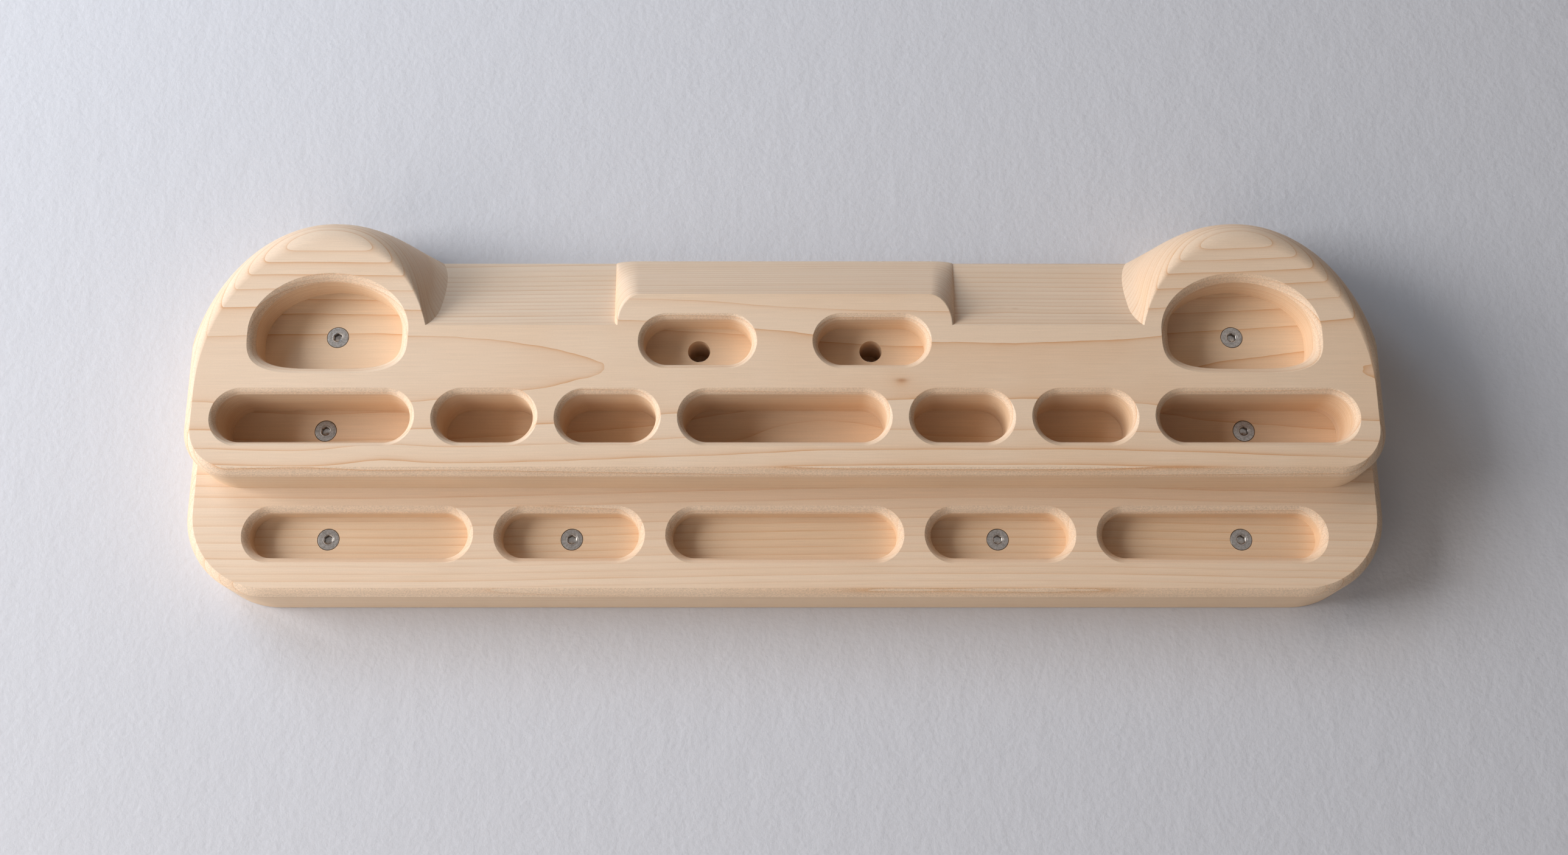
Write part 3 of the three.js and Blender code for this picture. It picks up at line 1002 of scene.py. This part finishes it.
@dataclass
class Graph:
    """Adds nodes to one shader tree and wires them."""

    tree: bpy.types.NodeTree

    @classmethod
    def of(cls, owner: Union[bpy.types.Material, bpy.types.World]) -> "Graph":
        """An empty graph for a material or a world."""
        owner.use_nodes = True
        owner.node_tree.nodes.clear()
        return cls(owner.node_tree)

    def node(self, kind: str, **settings: object) -> bpy.types.Node:
        """A new node, with its properties set.

        Args:
            kind: the node's type.
            settings: values of its properties by name.

        Returns:
            The node.
        """
        made = self.tree.nodes.new(kind)
        for name, value in settings.items():
            setattr(made, name, value)
        return made

    def put(self, socket: bpy.types.NodeSocket, value: Socket) -> None:
        """Fills an input.

        Args:
            socket: the input.
            value: another node's output, which is linked in, or a constant.
        """
        if isinstance(value, bpy.types.NodeSocket):
            self.tree.links.new(value, socket)
        else:
            socket.default_value = value

    def fill(self, node: bpy.types.Node, values: tuple) -> bpy.types.NodeSocket:
        """Fills a node's first inputs in order and returns its first output."""
        for socket, value in zip(node.inputs, values):
            self.put(socket, value)
        return node.outputs[0]

    def name_inputs(self, node: bpy.types.Node, values: dict) -> bpy.types.Node:
        """Fills a node's inputs by name, spaces written as underscores, and returns the node."""
        for name, value in values.items():
            self.put(node.inputs[name.replace("_", " ")], value)
        return node

    def math(self, operation: str, *values: Socket) -> bpy.types.NodeSocket:
        """A Math node's result."""
        return self.fill(self.node("ShaderNodeMath", operation=operation), values)

    def vector(self, operation: str, *values: Socket) -> bpy.types.NodeSocket:
        """A Vector Math node's result, its number where the operation gives one."""
        made = self.node("ShaderNodeVectorMath", operation=operation)
        self.fill(made, values)
        return made.outputs[1 if operation == "DOT_PRODUCT" else 0]

    def join(self, *parts: Socket) -> bpy.types.NodeSocket:
        """A vector from its parts. A part that isn't given is zero."""
        return self.fill(self.node("ShaderNodeCombineXYZ"), parts)

    def split(self, vector: Socket) -> tuple:
        """A vector's three parts."""
        made = self.node("ShaderNodeSeparateXYZ")
        self.put(made.inputs[0], vector)
        return tuple(made.outputs)

    def normal(self) -> tuple:
        """The three parts of the surface's normal."""
        return self.split(self.node("ShaderNodeNewGeometry").outputs["Normal"])

    def noise(self, place: Socket, detail: float, roughness: float = 0.5) -> bpy.types.NodeSocket:
        """Noise at unit scale on a place that is already scaled."""
        made = self.node("ShaderNodeTexNoise")
        self.name_inputs(made, {"Vector": place, "Scale": 1.0, "Detail": detail, "Roughness": roughness})
        return made.outputs["Fac"]

    def over(self, place: Socket, sizes: tuple) -> bpy.types.NodeSocket:
        """A place over sizes in millimetres, so that a noise's features get about those sizes."""
        return self.vector("MULTIPLY", place, tuple(1 / size for size in sizes))

    def centred(self, value: Socket) -> bpy.types.NodeSocket:
        """A value less one half, so that noise swings about zero."""
        return self.math("SUBTRACT", value, 0.5)

    def smooth(self, value: Socket, low: float, high: float) -> bpy.types.NodeSocket:
        """A smooth step.

        Args:
            value: the value that is looked at.
            low: where the step starts from 0. It may be above high.
            high: where the step reaches 1.

        Returns:
            The step's share.
        """
        made = self.node("ShaderNodeMapRange", interpolation_type="SMOOTHSTEP")
        for name, number in (("Value", value), ("From Min", low), ("From Max", high)):
            self.put(made.inputs[name], number)
        return made.outputs[0]

    def mix(self, share: Socket, first: Socket, second: Socket, blend: str = "MIX") -> bpy.types.NodeSocket:
        """A colour mix.

        Args:
            share: how much of the second colour is taken.
            first: first colour.
            second: second colour.
            blend: how the second is laid over the first.

        Returns:
            The mixed colour.
        """
        made = self.node("ShaderNodeMix", data_type="RGBA", blend_type=blend)
        for index, value in ((0, share), (6, first), (7, second)):
            self.put(made.inputs[index], value)
        return made.outputs[2]

    def tinted(self, share: Socket, colour: Socket, tint: tuple) -> bpy.types.NodeSocket:
        """A colour multiplied by a tint, as far as the share goes."""
        return self.mix(share, colour, self.mix(1.0, colour, (*tint, 1), "MULTIPLY"))

    def brightened(self, colour: Socket, level: Socket) -> bpy.types.NodeSocket:
        """A colour times a level."""
        made = self.node("ShaderNodeVectorMath", operation="SCALE")
        self.name_inputs(made, {"Vector": colour, "Scale": level})
        return made.outputs[0]

    def place_mm(self) -> bpy.types.NodeSocket:
        """Object coordinates in millimetres."""
        return self.vector("MULTIPLY", self.node("ShaderNodeTexCoord").outputs["Object"], (1 / MM,) * 3)

    def group(self, made: bpy.types.NodeTree, **values: Socket) -> bpy.types.Node:
        """Places a node group, with its inputs set by name."""
        return self.name_inputs(self.node("ShaderNodeGroup", node_tree=made), values)

    def bump(self, height: Socket, strength: float, distance: float) -> bpy.types.NodeSocket:
        """A normal bent by a height, whose full swing is a distance in metres."""
        values = {"Strength": strength, "Distance": distance, "Height": height}
        return self.name_inputs(self.node("ShaderNodeBump"), values).outputs[0]

    def principled(self, **values: Socket) -> bpy.types.NodeSocket:
        """A Principled shader, with its inputs set by name."""
        return self.name_inputs(self.node("ShaderNodeBsdfPrincipled"), values).outputs[0]

    def shaders(self, share: Socket, first: Socket, second: Socket) -> bpy.types.NodeSocket:
        """The second shader mixed into the first."""
        return self.fill(self.node("ShaderNodeMixShader"), (share, first, second))

    def finish(self, shader: Socket, kind: str = "ShaderNodeOutputMaterial") -> None:
        """Wires the last shader into the output."""
        self.put(self.node(kind).inputs["Surface"], shader)


@dataclass(frozen=True)
class Growth:
    """How the tree grew, in millimetres: what bends the rings, makes them differ and stretches grain.

    A swell is a (centre, reach, lift) that pushes the rings outwards round a bulge or a knot.
    """

    sweep_centre: float = 100.0
    sweep_half_length: float = 346.0
    sweep_lift: float = 1.1
    drift_size: tuple = (130, 60, 60)
    waver_size: tuple = (22, 9, 9)
    waver_lift: float = 0.16
    swells: tuple = (((18.0, -28.0, -13.0), (42.0, 7.0, 9.0), 1.5),
                     ((59.8, -60.0, 2.7), (9.0, 12.0, 5.0), 0.5),
                     ((117.0, -55.0, 47.0), (12.0, 12.0, 5.0), 0.8),
                     ((-205.0, -60.0, -36.0), (26.0, 20.0, 9.0), 0.9))
    least_strength: float = 0.5
    patch_size: tuple = (40, 8, 8)
    patch_gain: float = 1.3
    patch_base: float = 0.35
    slant_gain: float = -0.9
    slant_base: float = 1.35
    least_slant: float = 0.045
    line_share: float = 0.8
    late_power: float = 3.0
    late_share: float = 0.28
    cloud_size: tuple = (34, 40, 60)
    streak_stretch: float = 0.02
    speckle_stretch: float = 0.6


NUMBER = "NodeSocketFloat"
VECTOR = "NodeSocketVector"


class Effects:
    """Builds the node groups that several materials use, each one once."""

    @staticmethod
    def start(name: str, inputs: dict, outputs: tuple, kind: str = NUMBER) -> tuple:
        """A new group with its sockets.

        Args:
            name: the group's name.
            inputs: default value for each input name.
            outputs: names of the outputs, which are numbers.
            kind: socket type of the inputs.

        Returns:
            The graph, the group's inputs by name and its outputs by name.
        """
        tree = bpy.data.node_groups.new(name, "ShaderNodeTree")
        for label, value in inputs.items():
            tree.interface.new_socket(label, in_out="INPUT", socket_type=kind).default_value = value
        for label in outputs:
            tree.interface.new_socket(label, in_out="OUTPUT", socket_type=NUMBER)
        graph = Graph(tree)
        return graph, graph.node("NodeGroupInput").outputs, graph.node("NodeGroupOutput").inputs

    @staticmethod
    @cache
    def local_swell() -> bpy.types.NodeTree:
        """A soft swelling round a point: e to the minus squared distance, each axis scaled.

        Returns:
            The group, whose output is 1 at its centre and fades to 0.
        """
        graph, given, out = Effects.start(
            "local_swell", {"Centre": (0, 0, 0), "Reach": (1, 1, 1)}, ("Swell",), VECTOR)
        away = graph.vector("SUBTRACT", graph.place_mm(), given["Centre"])
        away = graph.vector("DIVIDE", away, given["Reach"])
        square = graph.vector("DOT_PRODUCT", away, away)
        graph.put(out["Swell"], graph.math("EXPONENT", graph.math("MULTIPLY", square, -1.0)))
        return graph.tree

    @staticmethod
    @cache
    def growth_rings(growth: Growth) -> bpy.types.NodeTree:
        """Growth rings round a pith that runs along X behind the board.

        A point's ring is its distance from the pith, plus a slow sweep along the board, a drift of
        low noise and a few local swells, over the ring spacing. Each ring ends in a dark line that
        stays about as wide on the surface whatever the angle at which the surface cuts it, and
        rings differ in strength.

        Args:
            growth: how the tree grew.

        Returns:
            The group, whose outputs are the line's strength and each ring's own tone.
        """
        graph, given, out = Effects.start(
            "growth_rings", {"Spacing": 1.9, "Pith Depth": 140.0, "Pith Height": 9.0, "Line Width": 0.5,
                             "Drift": 0.9, "Offset": 0.0}, ("Line", "Tone"))
        place = graph.place_mm()
        x, y, z = graph.split(place)
        behind = graph.math("SUBTRACT", y, given["Pith Depth"])
        above = graph.math("SUBTRACT", z, given["Pith Height"])
        squares = graph.math("ADD", graph.math("MULTIPLY", behind, behind),
                             graph.math("MULTIPLY", above, above))
        away = graph.math("SQRT", squares)
        sweep = graph.math("MULTIPLY", graph.math("SUBTRACT", x, growth.sweep_centre),
                           pi / growth.sweep_half_length)
        sweep = graph.math("COSINE", sweep)
        total = graph.math("ADD", away, graph.math("MULTIPLY", sweep, growth.sweep_lift))
        low = graph.noise(graph.over(place, growth.drift_size), 1.0)
        low = graph.math("MULTIPLY", graph.centred(low), given["Drift"])
        fine = graph.noise(graph.over(place, growth.waver_size), 2.0)
        fine = graph.math("MULTIPLY", graph.centred(fine), growth.waver_lift)
        total = graph.math("ADD", total, graph.math("ADD", low, fine))
        for centre, reach, lift in growth.swells:
            swell = graph.group(Effects.local_swell(), Centre=centre, Reach=reach).outputs[0]
            total = graph.math("ADD", total, graph.math("MULTIPLY", swell, lift))
        phase = graph.math("DIVIDE", graph.math("ADD", total, given["Offset"]), given["Spacing"])
        ring = graph.math("FLOOR", phase)
        part = graph.math("SUBTRACT", phase, ring)
        chance = graph.node("ShaderNodeTexWhiteNoise", noise_dimensions="1D")
        graph.put(chance.inputs["W"], ring)
        strength = graph.math("MULTIPLY_ADD", chance.outputs["Value"], 1.0 - growth.least_strength,
                              growth.least_strength)
        patch = graph.noise(graph.over(place, growth.patch_size), 1.0)
        patch = graph.math("MULTIPLY_ADD", patch, growth.patch_gain, growth.patch_base)
        strength = graph.math("MULTIPLY", strength, patch)
        inside = graph.math("MULTIPLY", graph.math("SUBTRACT", 1.0, part), given["Spacing"])
        normal = graph.normal()
        facing = graph.math("ADD", graph.math("MULTIPLY", normal[1], behind),
                            graph.math("MULTIPLY", normal[2], above))
        facing = graph.math("DIVIDE", facing, away)
        slant = graph.math("SUBTRACT", 1.0, graph.math("MULTIPLY", facing, facing))
        slant = graph.math("SQRT", graph.math("MAXIMUM", slant, 0.0))
        steady = graph.math("MULTIPLY_ADD", slant, growth.slant_gain, growth.slant_base)
        strength = graph.math("MULTIPLY", strength, steady)
        width = graph.math("MULTIPLY", graph.math("ADD", slant, growth.least_slant), given["Line Width"])
        line = graph.math("EXPONENT", graph.math("MULTIPLY", graph.math("DIVIDE", inside, width), -1.0))
        late = graph.math("MULTIPLY", graph.math("POWER", part, growth.late_power), growth.late_share)
        line = graph.math("ADD", graph.math("MULTIPLY", line, growth.line_share), late)
        graph.put(out["Line"], graph.math("MULTIPLY", strength, line))
        graph.put(out["Tone"], chance.outputs["Value"])
        return graph.tree

    @staticmethod
    @cache
    def fine_grain(growth: Growth) -> bpy.types.NodeTree:
        """Fine streaks along X, the speckle of cut rays, and soft clouds of tone.

        Args:
            growth: how the tree grew.

        Returns:
            The group, whose three outputs are noises from 0 to 1.
        """
        graph, given, out = Effects.start(
            "fine_grain", {"Streak Width": 0.6, "Speckle Size": 0.5}, ("Streak", "Speckle", "Cloud"))
        place = graph.place_mm()
        for label, size, stretch, detail in (("Streak", "Streak Width", growth.streak_stretch, 3.0),
                                             ("Speckle", "Speckle Size", growth.speckle_stretch, 2.0)):
            finer = graph.math("DIVIDE", 1.0, given[size])
            scale = graph.join(graph.math("MULTIPLY", finer, stretch), finer, finer)
            graph.put(out[label], graph.noise(graph.vector("MULTIPLY", place, scale), detail, 0.6))
        graph.put(out["Cloud"], graph.noise(graph.over(place, growth.cloud_size), 2.0))
        return graph.tree


@dataclass(frozen=True)
class SawnWood:
    """Sanded, unvarnished wood cut from a solid pattern of growth rings and fine grain.

    A pair named as limits goes from 0 at its first number to 1 at its second. The bounce tint's depth limits
    are distances behind the face, and a pin knot is a (centre, reach). The bounce tint is painted light: a
    warmer cast that stands in for light bounced inside pockets and recesses.
    """

    name: str
    pale: tuple = (0.82, 0.625, 0.458)
    warm: tuple = (0.775, 0.548, 0.368)
    line: tuple = (0.82, 0.60, 0.42)
    # painted bounce light: the warmer tint laid on faces in pockets and recesses
    bounce_tint: tuple = (1.0, 0.99, 0.94)
    end: tuple = (0.90, 0.86, 0.82)
    spot: tuple = (0.62, 0.42, 0.28)
    growth: Growth = Growth()
    face_depth: float = -60.0
    ring_spacing: float = 1.9
    pith_depth: float = 140.0
    pith_height: float = 9.0
    line_width: float = 0.5
    ring_drift: float = 0.9
    ring_offset: float = -0.30
    streak_width: float = 0.6
    speckle_size: float = 0.5
    warm_limits: tuple = (-260.0, 300.0)
    warm_share: float = 0.35
    # where the painted bounce-light tint applies: depth behind the face, and how far a face may look up and
    # still take it
    bounce_tint_depth_limits: tuple = (1.0, 7.0)
    bounce_tint_up_limits: tuple = (0.5, 0.2)
    turned_limits: tuple = (0.25, 0.45)
    flat_limits: tuple = (0.97, 0.90)
    down_limits: tuple = (0.5, 0.0)
    end_limits: tuple = (0.35, 0.95)
    least_speckle: float = 0.15
    pin_knots: tuple = (((59.8, -60.0, 2.7), (3.2, 6.0, 1.1)), ((113.0, -55.0, 47.0), (2.2, 5.0, 1.0)),
                        ((121.0, -54.0, 46.0), (1.6, 5.0, 0.8)))
    knot_share: float = 0.7
    streak_level: float = 0.22
    speckle_level: float = 0.72
    roughness: float = 0.60
    streak_roughness: float = 0.2
    specular: float = 0.35
    bump_strength: float = 0.35
    bump_distance: float = 0.00025
    bump_speckle: float = 1.2

    @cache
    def material(self) -> bpy.types.Material:
        """The material, made once. Its tone is built up from the rings to the speckle.

        Returns:
            The material.
        """
        material = bpy.data.materials.new(self.name)
        graph = Graph.of(material)
        rings = graph.group(Effects.growth_rings(self.growth), Spacing=self.ring_spacing,
                            Pith_Depth=self.pith_depth, Pith_Height=self.pith_height,
                            Line_Width=self.line_width, Drift=self.ring_drift, Offset=self.ring_offset)
        grain = graph.group(Effects.fine_grain(self.growth), Streak_Width=self.streak_width,
                            Speckle_Size=self.speckle_size)
        normal = graph.normal()
        x, y, _ = graph.split(graph.place_mm())
        warmth = graph.math("MULTIPLY", grain.outputs["Cloud"], rings.outputs["Tone"])
        warmth = graph.math("MULTIPLY_ADD", graph.smooth(x, *self.warm_limits), self.warm_share, warmth)
        colour = graph.mix(warmth, (*self.pale, 1), (*self.warm, 1))
        colour = graph.tinted(rings.outputs["Line"], colour, self.line)
        endwise = graph.smooth(graph.math("ABSOLUTE", normal[0]), *self.end_limits)
        colour = graph.tinted(endwise, colour, self.end)
        # Painted light: faces more than a few millimetres behind the face, except those that look up, take a
        # warmer tint that stands in for light bounced inside pockets and recesses.
        inner = graph.smooth(y, *(self.face_depth + limit for limit in self.bounce_tint_depth_limits))
        inner = graph.math("MULTIPLY", inner, graph.smooth(normal[2], *self.bounce_tint_up_limits))
        colour = graph.tinted(inner, colour, self.bounce_tint)
        knots = 0.0
        for centre, reach in self.pin_knots:
            swell = graph.group(Effects.local_swell(), Centre=centre, Reach=reach).outputs[0]
            knots = graph.math("ADD", knots, swell)
        colour = graph.tinted(graph.math("MULTIPLY", knots, self.knot_share), colour, self.spot)
        streak = graph.centred(grain.outputs["Streak"])
        speckle = graph.centred(grain.outputs["Speckle"])
        speckle = graph.math("MULTIPLY", speckle, self.speckled(graph, normal))
        level = graph.math("MULTIPLY_ADD", streak, self.streak_level, 1.0)
        level = graph.math("MULTIPLY_ADD", speckle, self.speckle_level, level)
        height = graph.math("ADD", streak, graph.math("MULTIPLY", speckle, self.bump_speckle))
        roughness = graph.math("MULTIPLY_ADD", streak, self.streak_roughness, self.roughness)
        graph.finish(graph.principled(
            Base_Color=graph.brightened(colour, level), Roughness=roughness,
            Specular_IOR_Level=self.specular,
            Normal=graph.bump(height, self.bump_strength, self.bump_distance)))
        return material

    def speckled(self, graph: Graph, normal: tuple) -> bpy.types.NodeSocket:
        """How strongly the speckle shows: most on faces that slope and look down.

        Args:
            graph: the material's graph.
            normal: the three parts of the surface's normal.

        Returns:
            A share from the least speckle to 1.
        """
        across = graph.math("ABSOLUTE", normal[1])
        sloping = graph.math("MULTIPLY", graph.smooth(across, *self.turned_limits),
                             graph.smooth(across, *self.flat_limits))
        downward = graph.smooth(normal[2], *self.down_limits)
        return graph.math("MULTIPLY_ADD", graph.math("MULTIPLY", sloping, downward),
                          1.0 - self.least_speckle, self.least_speckle)


@dataclass(frozen=True)
class TurnedSteel:
    """Satin steel with the fine rings that turning leaves round the axis."""

    name: str = "turned_steel"
    bright: tuple = (0.42, 0.385, 0.35)
    dull: tuple = (0.16, 0.14, 0.125)
    ring_pitch: float = 0.16
    stain_fineness: float = 0.9
    shade_share: float = 0.6
    shade_limits: tuple = (0.35, 0.85)
    roughness: float = 0.28
    stain_roughness: float = 0.16
    bump_strength: float = 0.3
    bump_distance: float = 0.00008

    @cache
    def material(self) -> bpy.types.Material:
        """The material, made once. Its rings read the radius that each screw keeps per point.

        Returns:
            The material.
        """
        material = bpy.data.materials.new(self.name)
        graph = Graph.of(material)
        kept = graph.node("ShaderNodeAttribute", attribute_name="turned")
        radius = graph.split(kept.outputs["Vector"])[0]
        rings = graph.noise(graph.join(graph.math("DIVIDE", radius, self.ring_pitch)), 2.0, 0.6)
        stain = graph.noise(graph.vector("MULTIPLY", graph.place_mm(), (self.stain_fineness,) * 3), 3.0, 0.6)
        shade = graph.math("ADD", graph.math("MULTIPLY", rings, self.shade_share),
                           graph.math("MULTIPLY", stain, self.shade_share))
        colour = graph.mix(graph.smooth(shade, *self.shade_limits), (*self.dull, 1), (*self.bright, 1))
        roughness = graph.math("MULTIPLY_ADD", stain, self.stain_roughness, self.roughness)
        graph.finish(graph.principled(
            Base_Color=colour, Metallic=1.0, Roughness=roughness,
            Normal=graph.bump(rings, self.bump_strength, self.bump_distance)))
        return material


@dataclass(frozen=True)
class OneSided:
    """A plain stage finish that shows from its front only, so the part is seen from behind."""

    name: str
    colour: tuple
    bump: float = 0.0
    roughness: float = 0.85
    specular: float = 0.2
    grit_size: float = 3.2
    dent_size: tuple = (15, 15, 24)
    dent_height: float = 1.4
    bump_distance: float = 0.001

    def material(self) -> bpy.types.Material:
        """The material: rough plaster or floor, with its back see-through.

        Returns:
            The material.
        """
        material = bpy.data.materials.new(self.name)
        graph = Graph.of(material)
        values = {"Base_Color": (*self.colour, 1), "Roughness": self.roughness,
                  "Specular_IOR_Level": self.specular}
        if self.bump:
            place = graph.place_mm()
            grit = graph.noise(graph.over(place, (self.grit_size,) * 3), 4.0, 0.55)
            dent = graph.noise(graph.over(place, self.dent_size), 2.0)
            height = graph.math("MULTIPLY_ADD", dent, self.dent_height, grit)
            values["Normal"] = graph.bump(height, self.bump, self.bump_distance)
        clear = graph.node("ShaderNodeBsdfTransparent").outputs[0]
        back = graph.node("ShaderNodeNewGeometry").outputs["Backfacing"]
        graph.finish(graph.shaders(back, graph.principled(**values), clear))
        return material


@dataclass(frozen=True)
class Lamp:
    """One soft square lamp that looks at a point."""

    name: str
    spot: tuple
    size: float
    power: float
    colour: tuple = (1.0, 1.0, 1.0)
    aim: tuple = (0.0, -0.03, 0.0)

    def build(self) -> bpy.types.Object:
        """Builds the lamp, unseen by the camera.

        Returns:
            The lamp.
        """
        data = bpy.data.lights.new(self.name, "AREA")
        data.shape = "SQUARE"
        data.size = self.size
        data.energy = self.power
        data.color = self.colour
        lamp = bpy.data.objects.new(self.name, data)
        lamp.location = self.spot
        lamp.rotation_euler = (Vector(self.aim) - Vector(self.spot)).to_track_quat("-Z", "Y").to_euler()
        lamp.visible_camera = False
        bpy.context.scene.collection.objects.link(lamp)
        return lamp


@dataclass(frozen=True)
class Studio:
    """The wall, floor, lamps, world and camera. None of it is part of the object."""

    sensor: float = 36.0
    lens: float = 39.13
    farthest: float = 100.0
    tilt: float = 16.5
    eye: tuple = (-0.0004, -0.889, -0.2681)
    wall_half: float = 4.0
    wall_gap: float = 0.0006
    floor_height: float = -1.3
    window_inset: float = 0.0025
    wall_finish: OneSided = OneSided("plaster", (0.65, 0.64, 0.665), 0.25)
    floor_finish: OneSided = OneSided("pale_floor", (0.62, 0.61, 0.60))
    world_light: tuple = (0.95, 0.97, 1.0)
    world_level: float = 0.03
    world_seen: tuple = (0.72, 0.72, 0.74)
    lamps: tuple = (
        Lamp("key", (-2.9, -1.5, 0.15), 1.7, 111.0, (0.985, 0.99, 1.0)),
        Lamp("sky", (-1.2, -0.9, 1.1), 0.9, 14.2, (0.62, 0.80, 1.0)),
        Lamp("room", (0.0, -1.5, 1.3), 0.9, 3.6, (1.0, 0.80, 0.62)),
        Lamp("bounce", (-0.9, -0.9, -1.0), 0.9, 2.8, (1.0, 0.82, 0.66)),
        Lamp("behind", (0.3, 1.8, 0.6), 1.6, 40.0),
    )

    def camera(self) -> None:
        """The camera at the photograph's viewing angle, below the board and looking up."""
        data = bpy.data.cameras.new("camera")
        data.lens = self.lens
        data.sensor_width = self.sensor
        data.clip_end = self.farthest
        camera = bpy.data.objects.new("camera", data)
        camera.location = self.eye
        camera.rotation_euler = Euler((radians(90 + self.tilt), 0.0, 0.0))
        bpy.context.scene.collection.objects.link(camera)
        bpy.context.scene.camera = camera

    def wall(self) -> bpy.types.Object:
        """A wall with a window behind the board, so that light reaches the board's back.

        The window is the board's outline with each point moved inwards, at a right angle to the
        line between its neighbours. The board covers it from the front.

        Returns:
            The wall.
        """
        outline = BackPlank().outline(BOARD.depth)
        along = np.roll(outline, -1, axis=0) - np.roll(outline, 1, axis=0)
        inward = np.column_stack([-along[:, 1], along[:, 0]]) / np.linalg.norm(along, axis=1)[:, None]
        sheet = Skin()
        sheet.flat(-self.wall_gap / MM, self.square() / MM, [outline + self.window_inset / MM * inward])
        placed = BOARD.place(np.vstack(sheet.points))
        return self.backdrop("wall", placed, sheet.triangles[0].tolist(), self.wall_finish)

    def floor(self) -> bpy.types.Object:
        """A plain pale floor, well below the board."""
        points = np.column_stack([self.square(), np.full(4, self.floor_height)])
        return self.backdrop("floor", points, [(0, 1, 2, 3)], self.floor_finish)

    def square(self) -> np.ndarray:
        """Corners of the wall's and the floor's square, in metres."""
        half = self.wall_half
        return np.array([[-half, -half], [half, -half], [half, half], [-half, half]])

    def backdrop(self, name: str, points: np.ndarray, faces: list, finish: OneSided) -> bpy.types.Object:
        """Links a flat stage piece.

        Args:
            name: name of the piece.
            points: its points in metres.
            faces: point indices of each face.
            finish: its finish.

        Returns:
            The piece.
        """
        mesh = bpy.data.meshes.new(name)
        mesh.from_pydata(points.tolist(), [], faces)
        mesh.materials.append(finish.material())
        piece = bpy.data.objects.new(name, mesh)
        bpy.context.scene.collection.objects.link(piece)
        return piece

    def world(self) -> None:
        """A pale world that lights softly, and shows plain to the camera and in gloss."""
        world = bpy.data.worlds.new("studio")
        graph = Graph.of(world)
        grounds = []
        for colour, strength in ((self.world_light, self.world_level), (self.world_seen, 1.0)):
            ground = graph.node("ShaderNodeBackground")
            grounds.append(graph.fill(ground, ((*colour, 1), strength)))
        ray = graph.node("ShaderNodeLightPath").outputs
        shown = graph.math("MAXIMUM", ray["Is Camera Ray"], ray["Is Glossy Ray"])
        shown = graph.math("MAXIMUM", shown, ray["Is Transmission Ray"])
        graph.finish(graph.shaders(shown, *grounds), "ShaderNodeOutputWorld")
        bpy.context.scene.world = world

    def build(self) -> None:
        """Builds the whole studio."""
        self.camera()
        self.wall()
        self.floor()
        for lamp in self.lamps:
            lamp.build()
        self.world()
        bpy.context.scene.view_settings.view_transform = "Standard"


def main() -> None:
    """Builds the studio and the board, sub-assembly by sub-assembly."""
    logging.basicConfig(level=logging.INFO, format="%(name)s: %(message)s")
    Studio().build()
    front = SawnWood("sanded_maple_front")
    back = SawnWood("sanded_maple_back", line=(0.88, 0.74, 0.61), face_depth=-BOARD.back_thickness)
    pieces = [FrontPlank().build(front), BackPlank().build(back)]
    steel = TurnedSteel()
    pieces += [Screw().build(node, *spot, steel) for node, spot in LAYOUT.screws().items()]
    beech = SawnWood("turned_beech", (0.62, 0.42, 0.27), (0.56, 0.36, 0.21))
    pieces += [Dowel().build(node, *spot, beech) for node, spot in LAYOUT.dowels().items()]
    for piece in pieces:
        log.info("%s: %d faces", piece.name, len(piece.data.polygons))


if __name__ == "__main__":
    main()
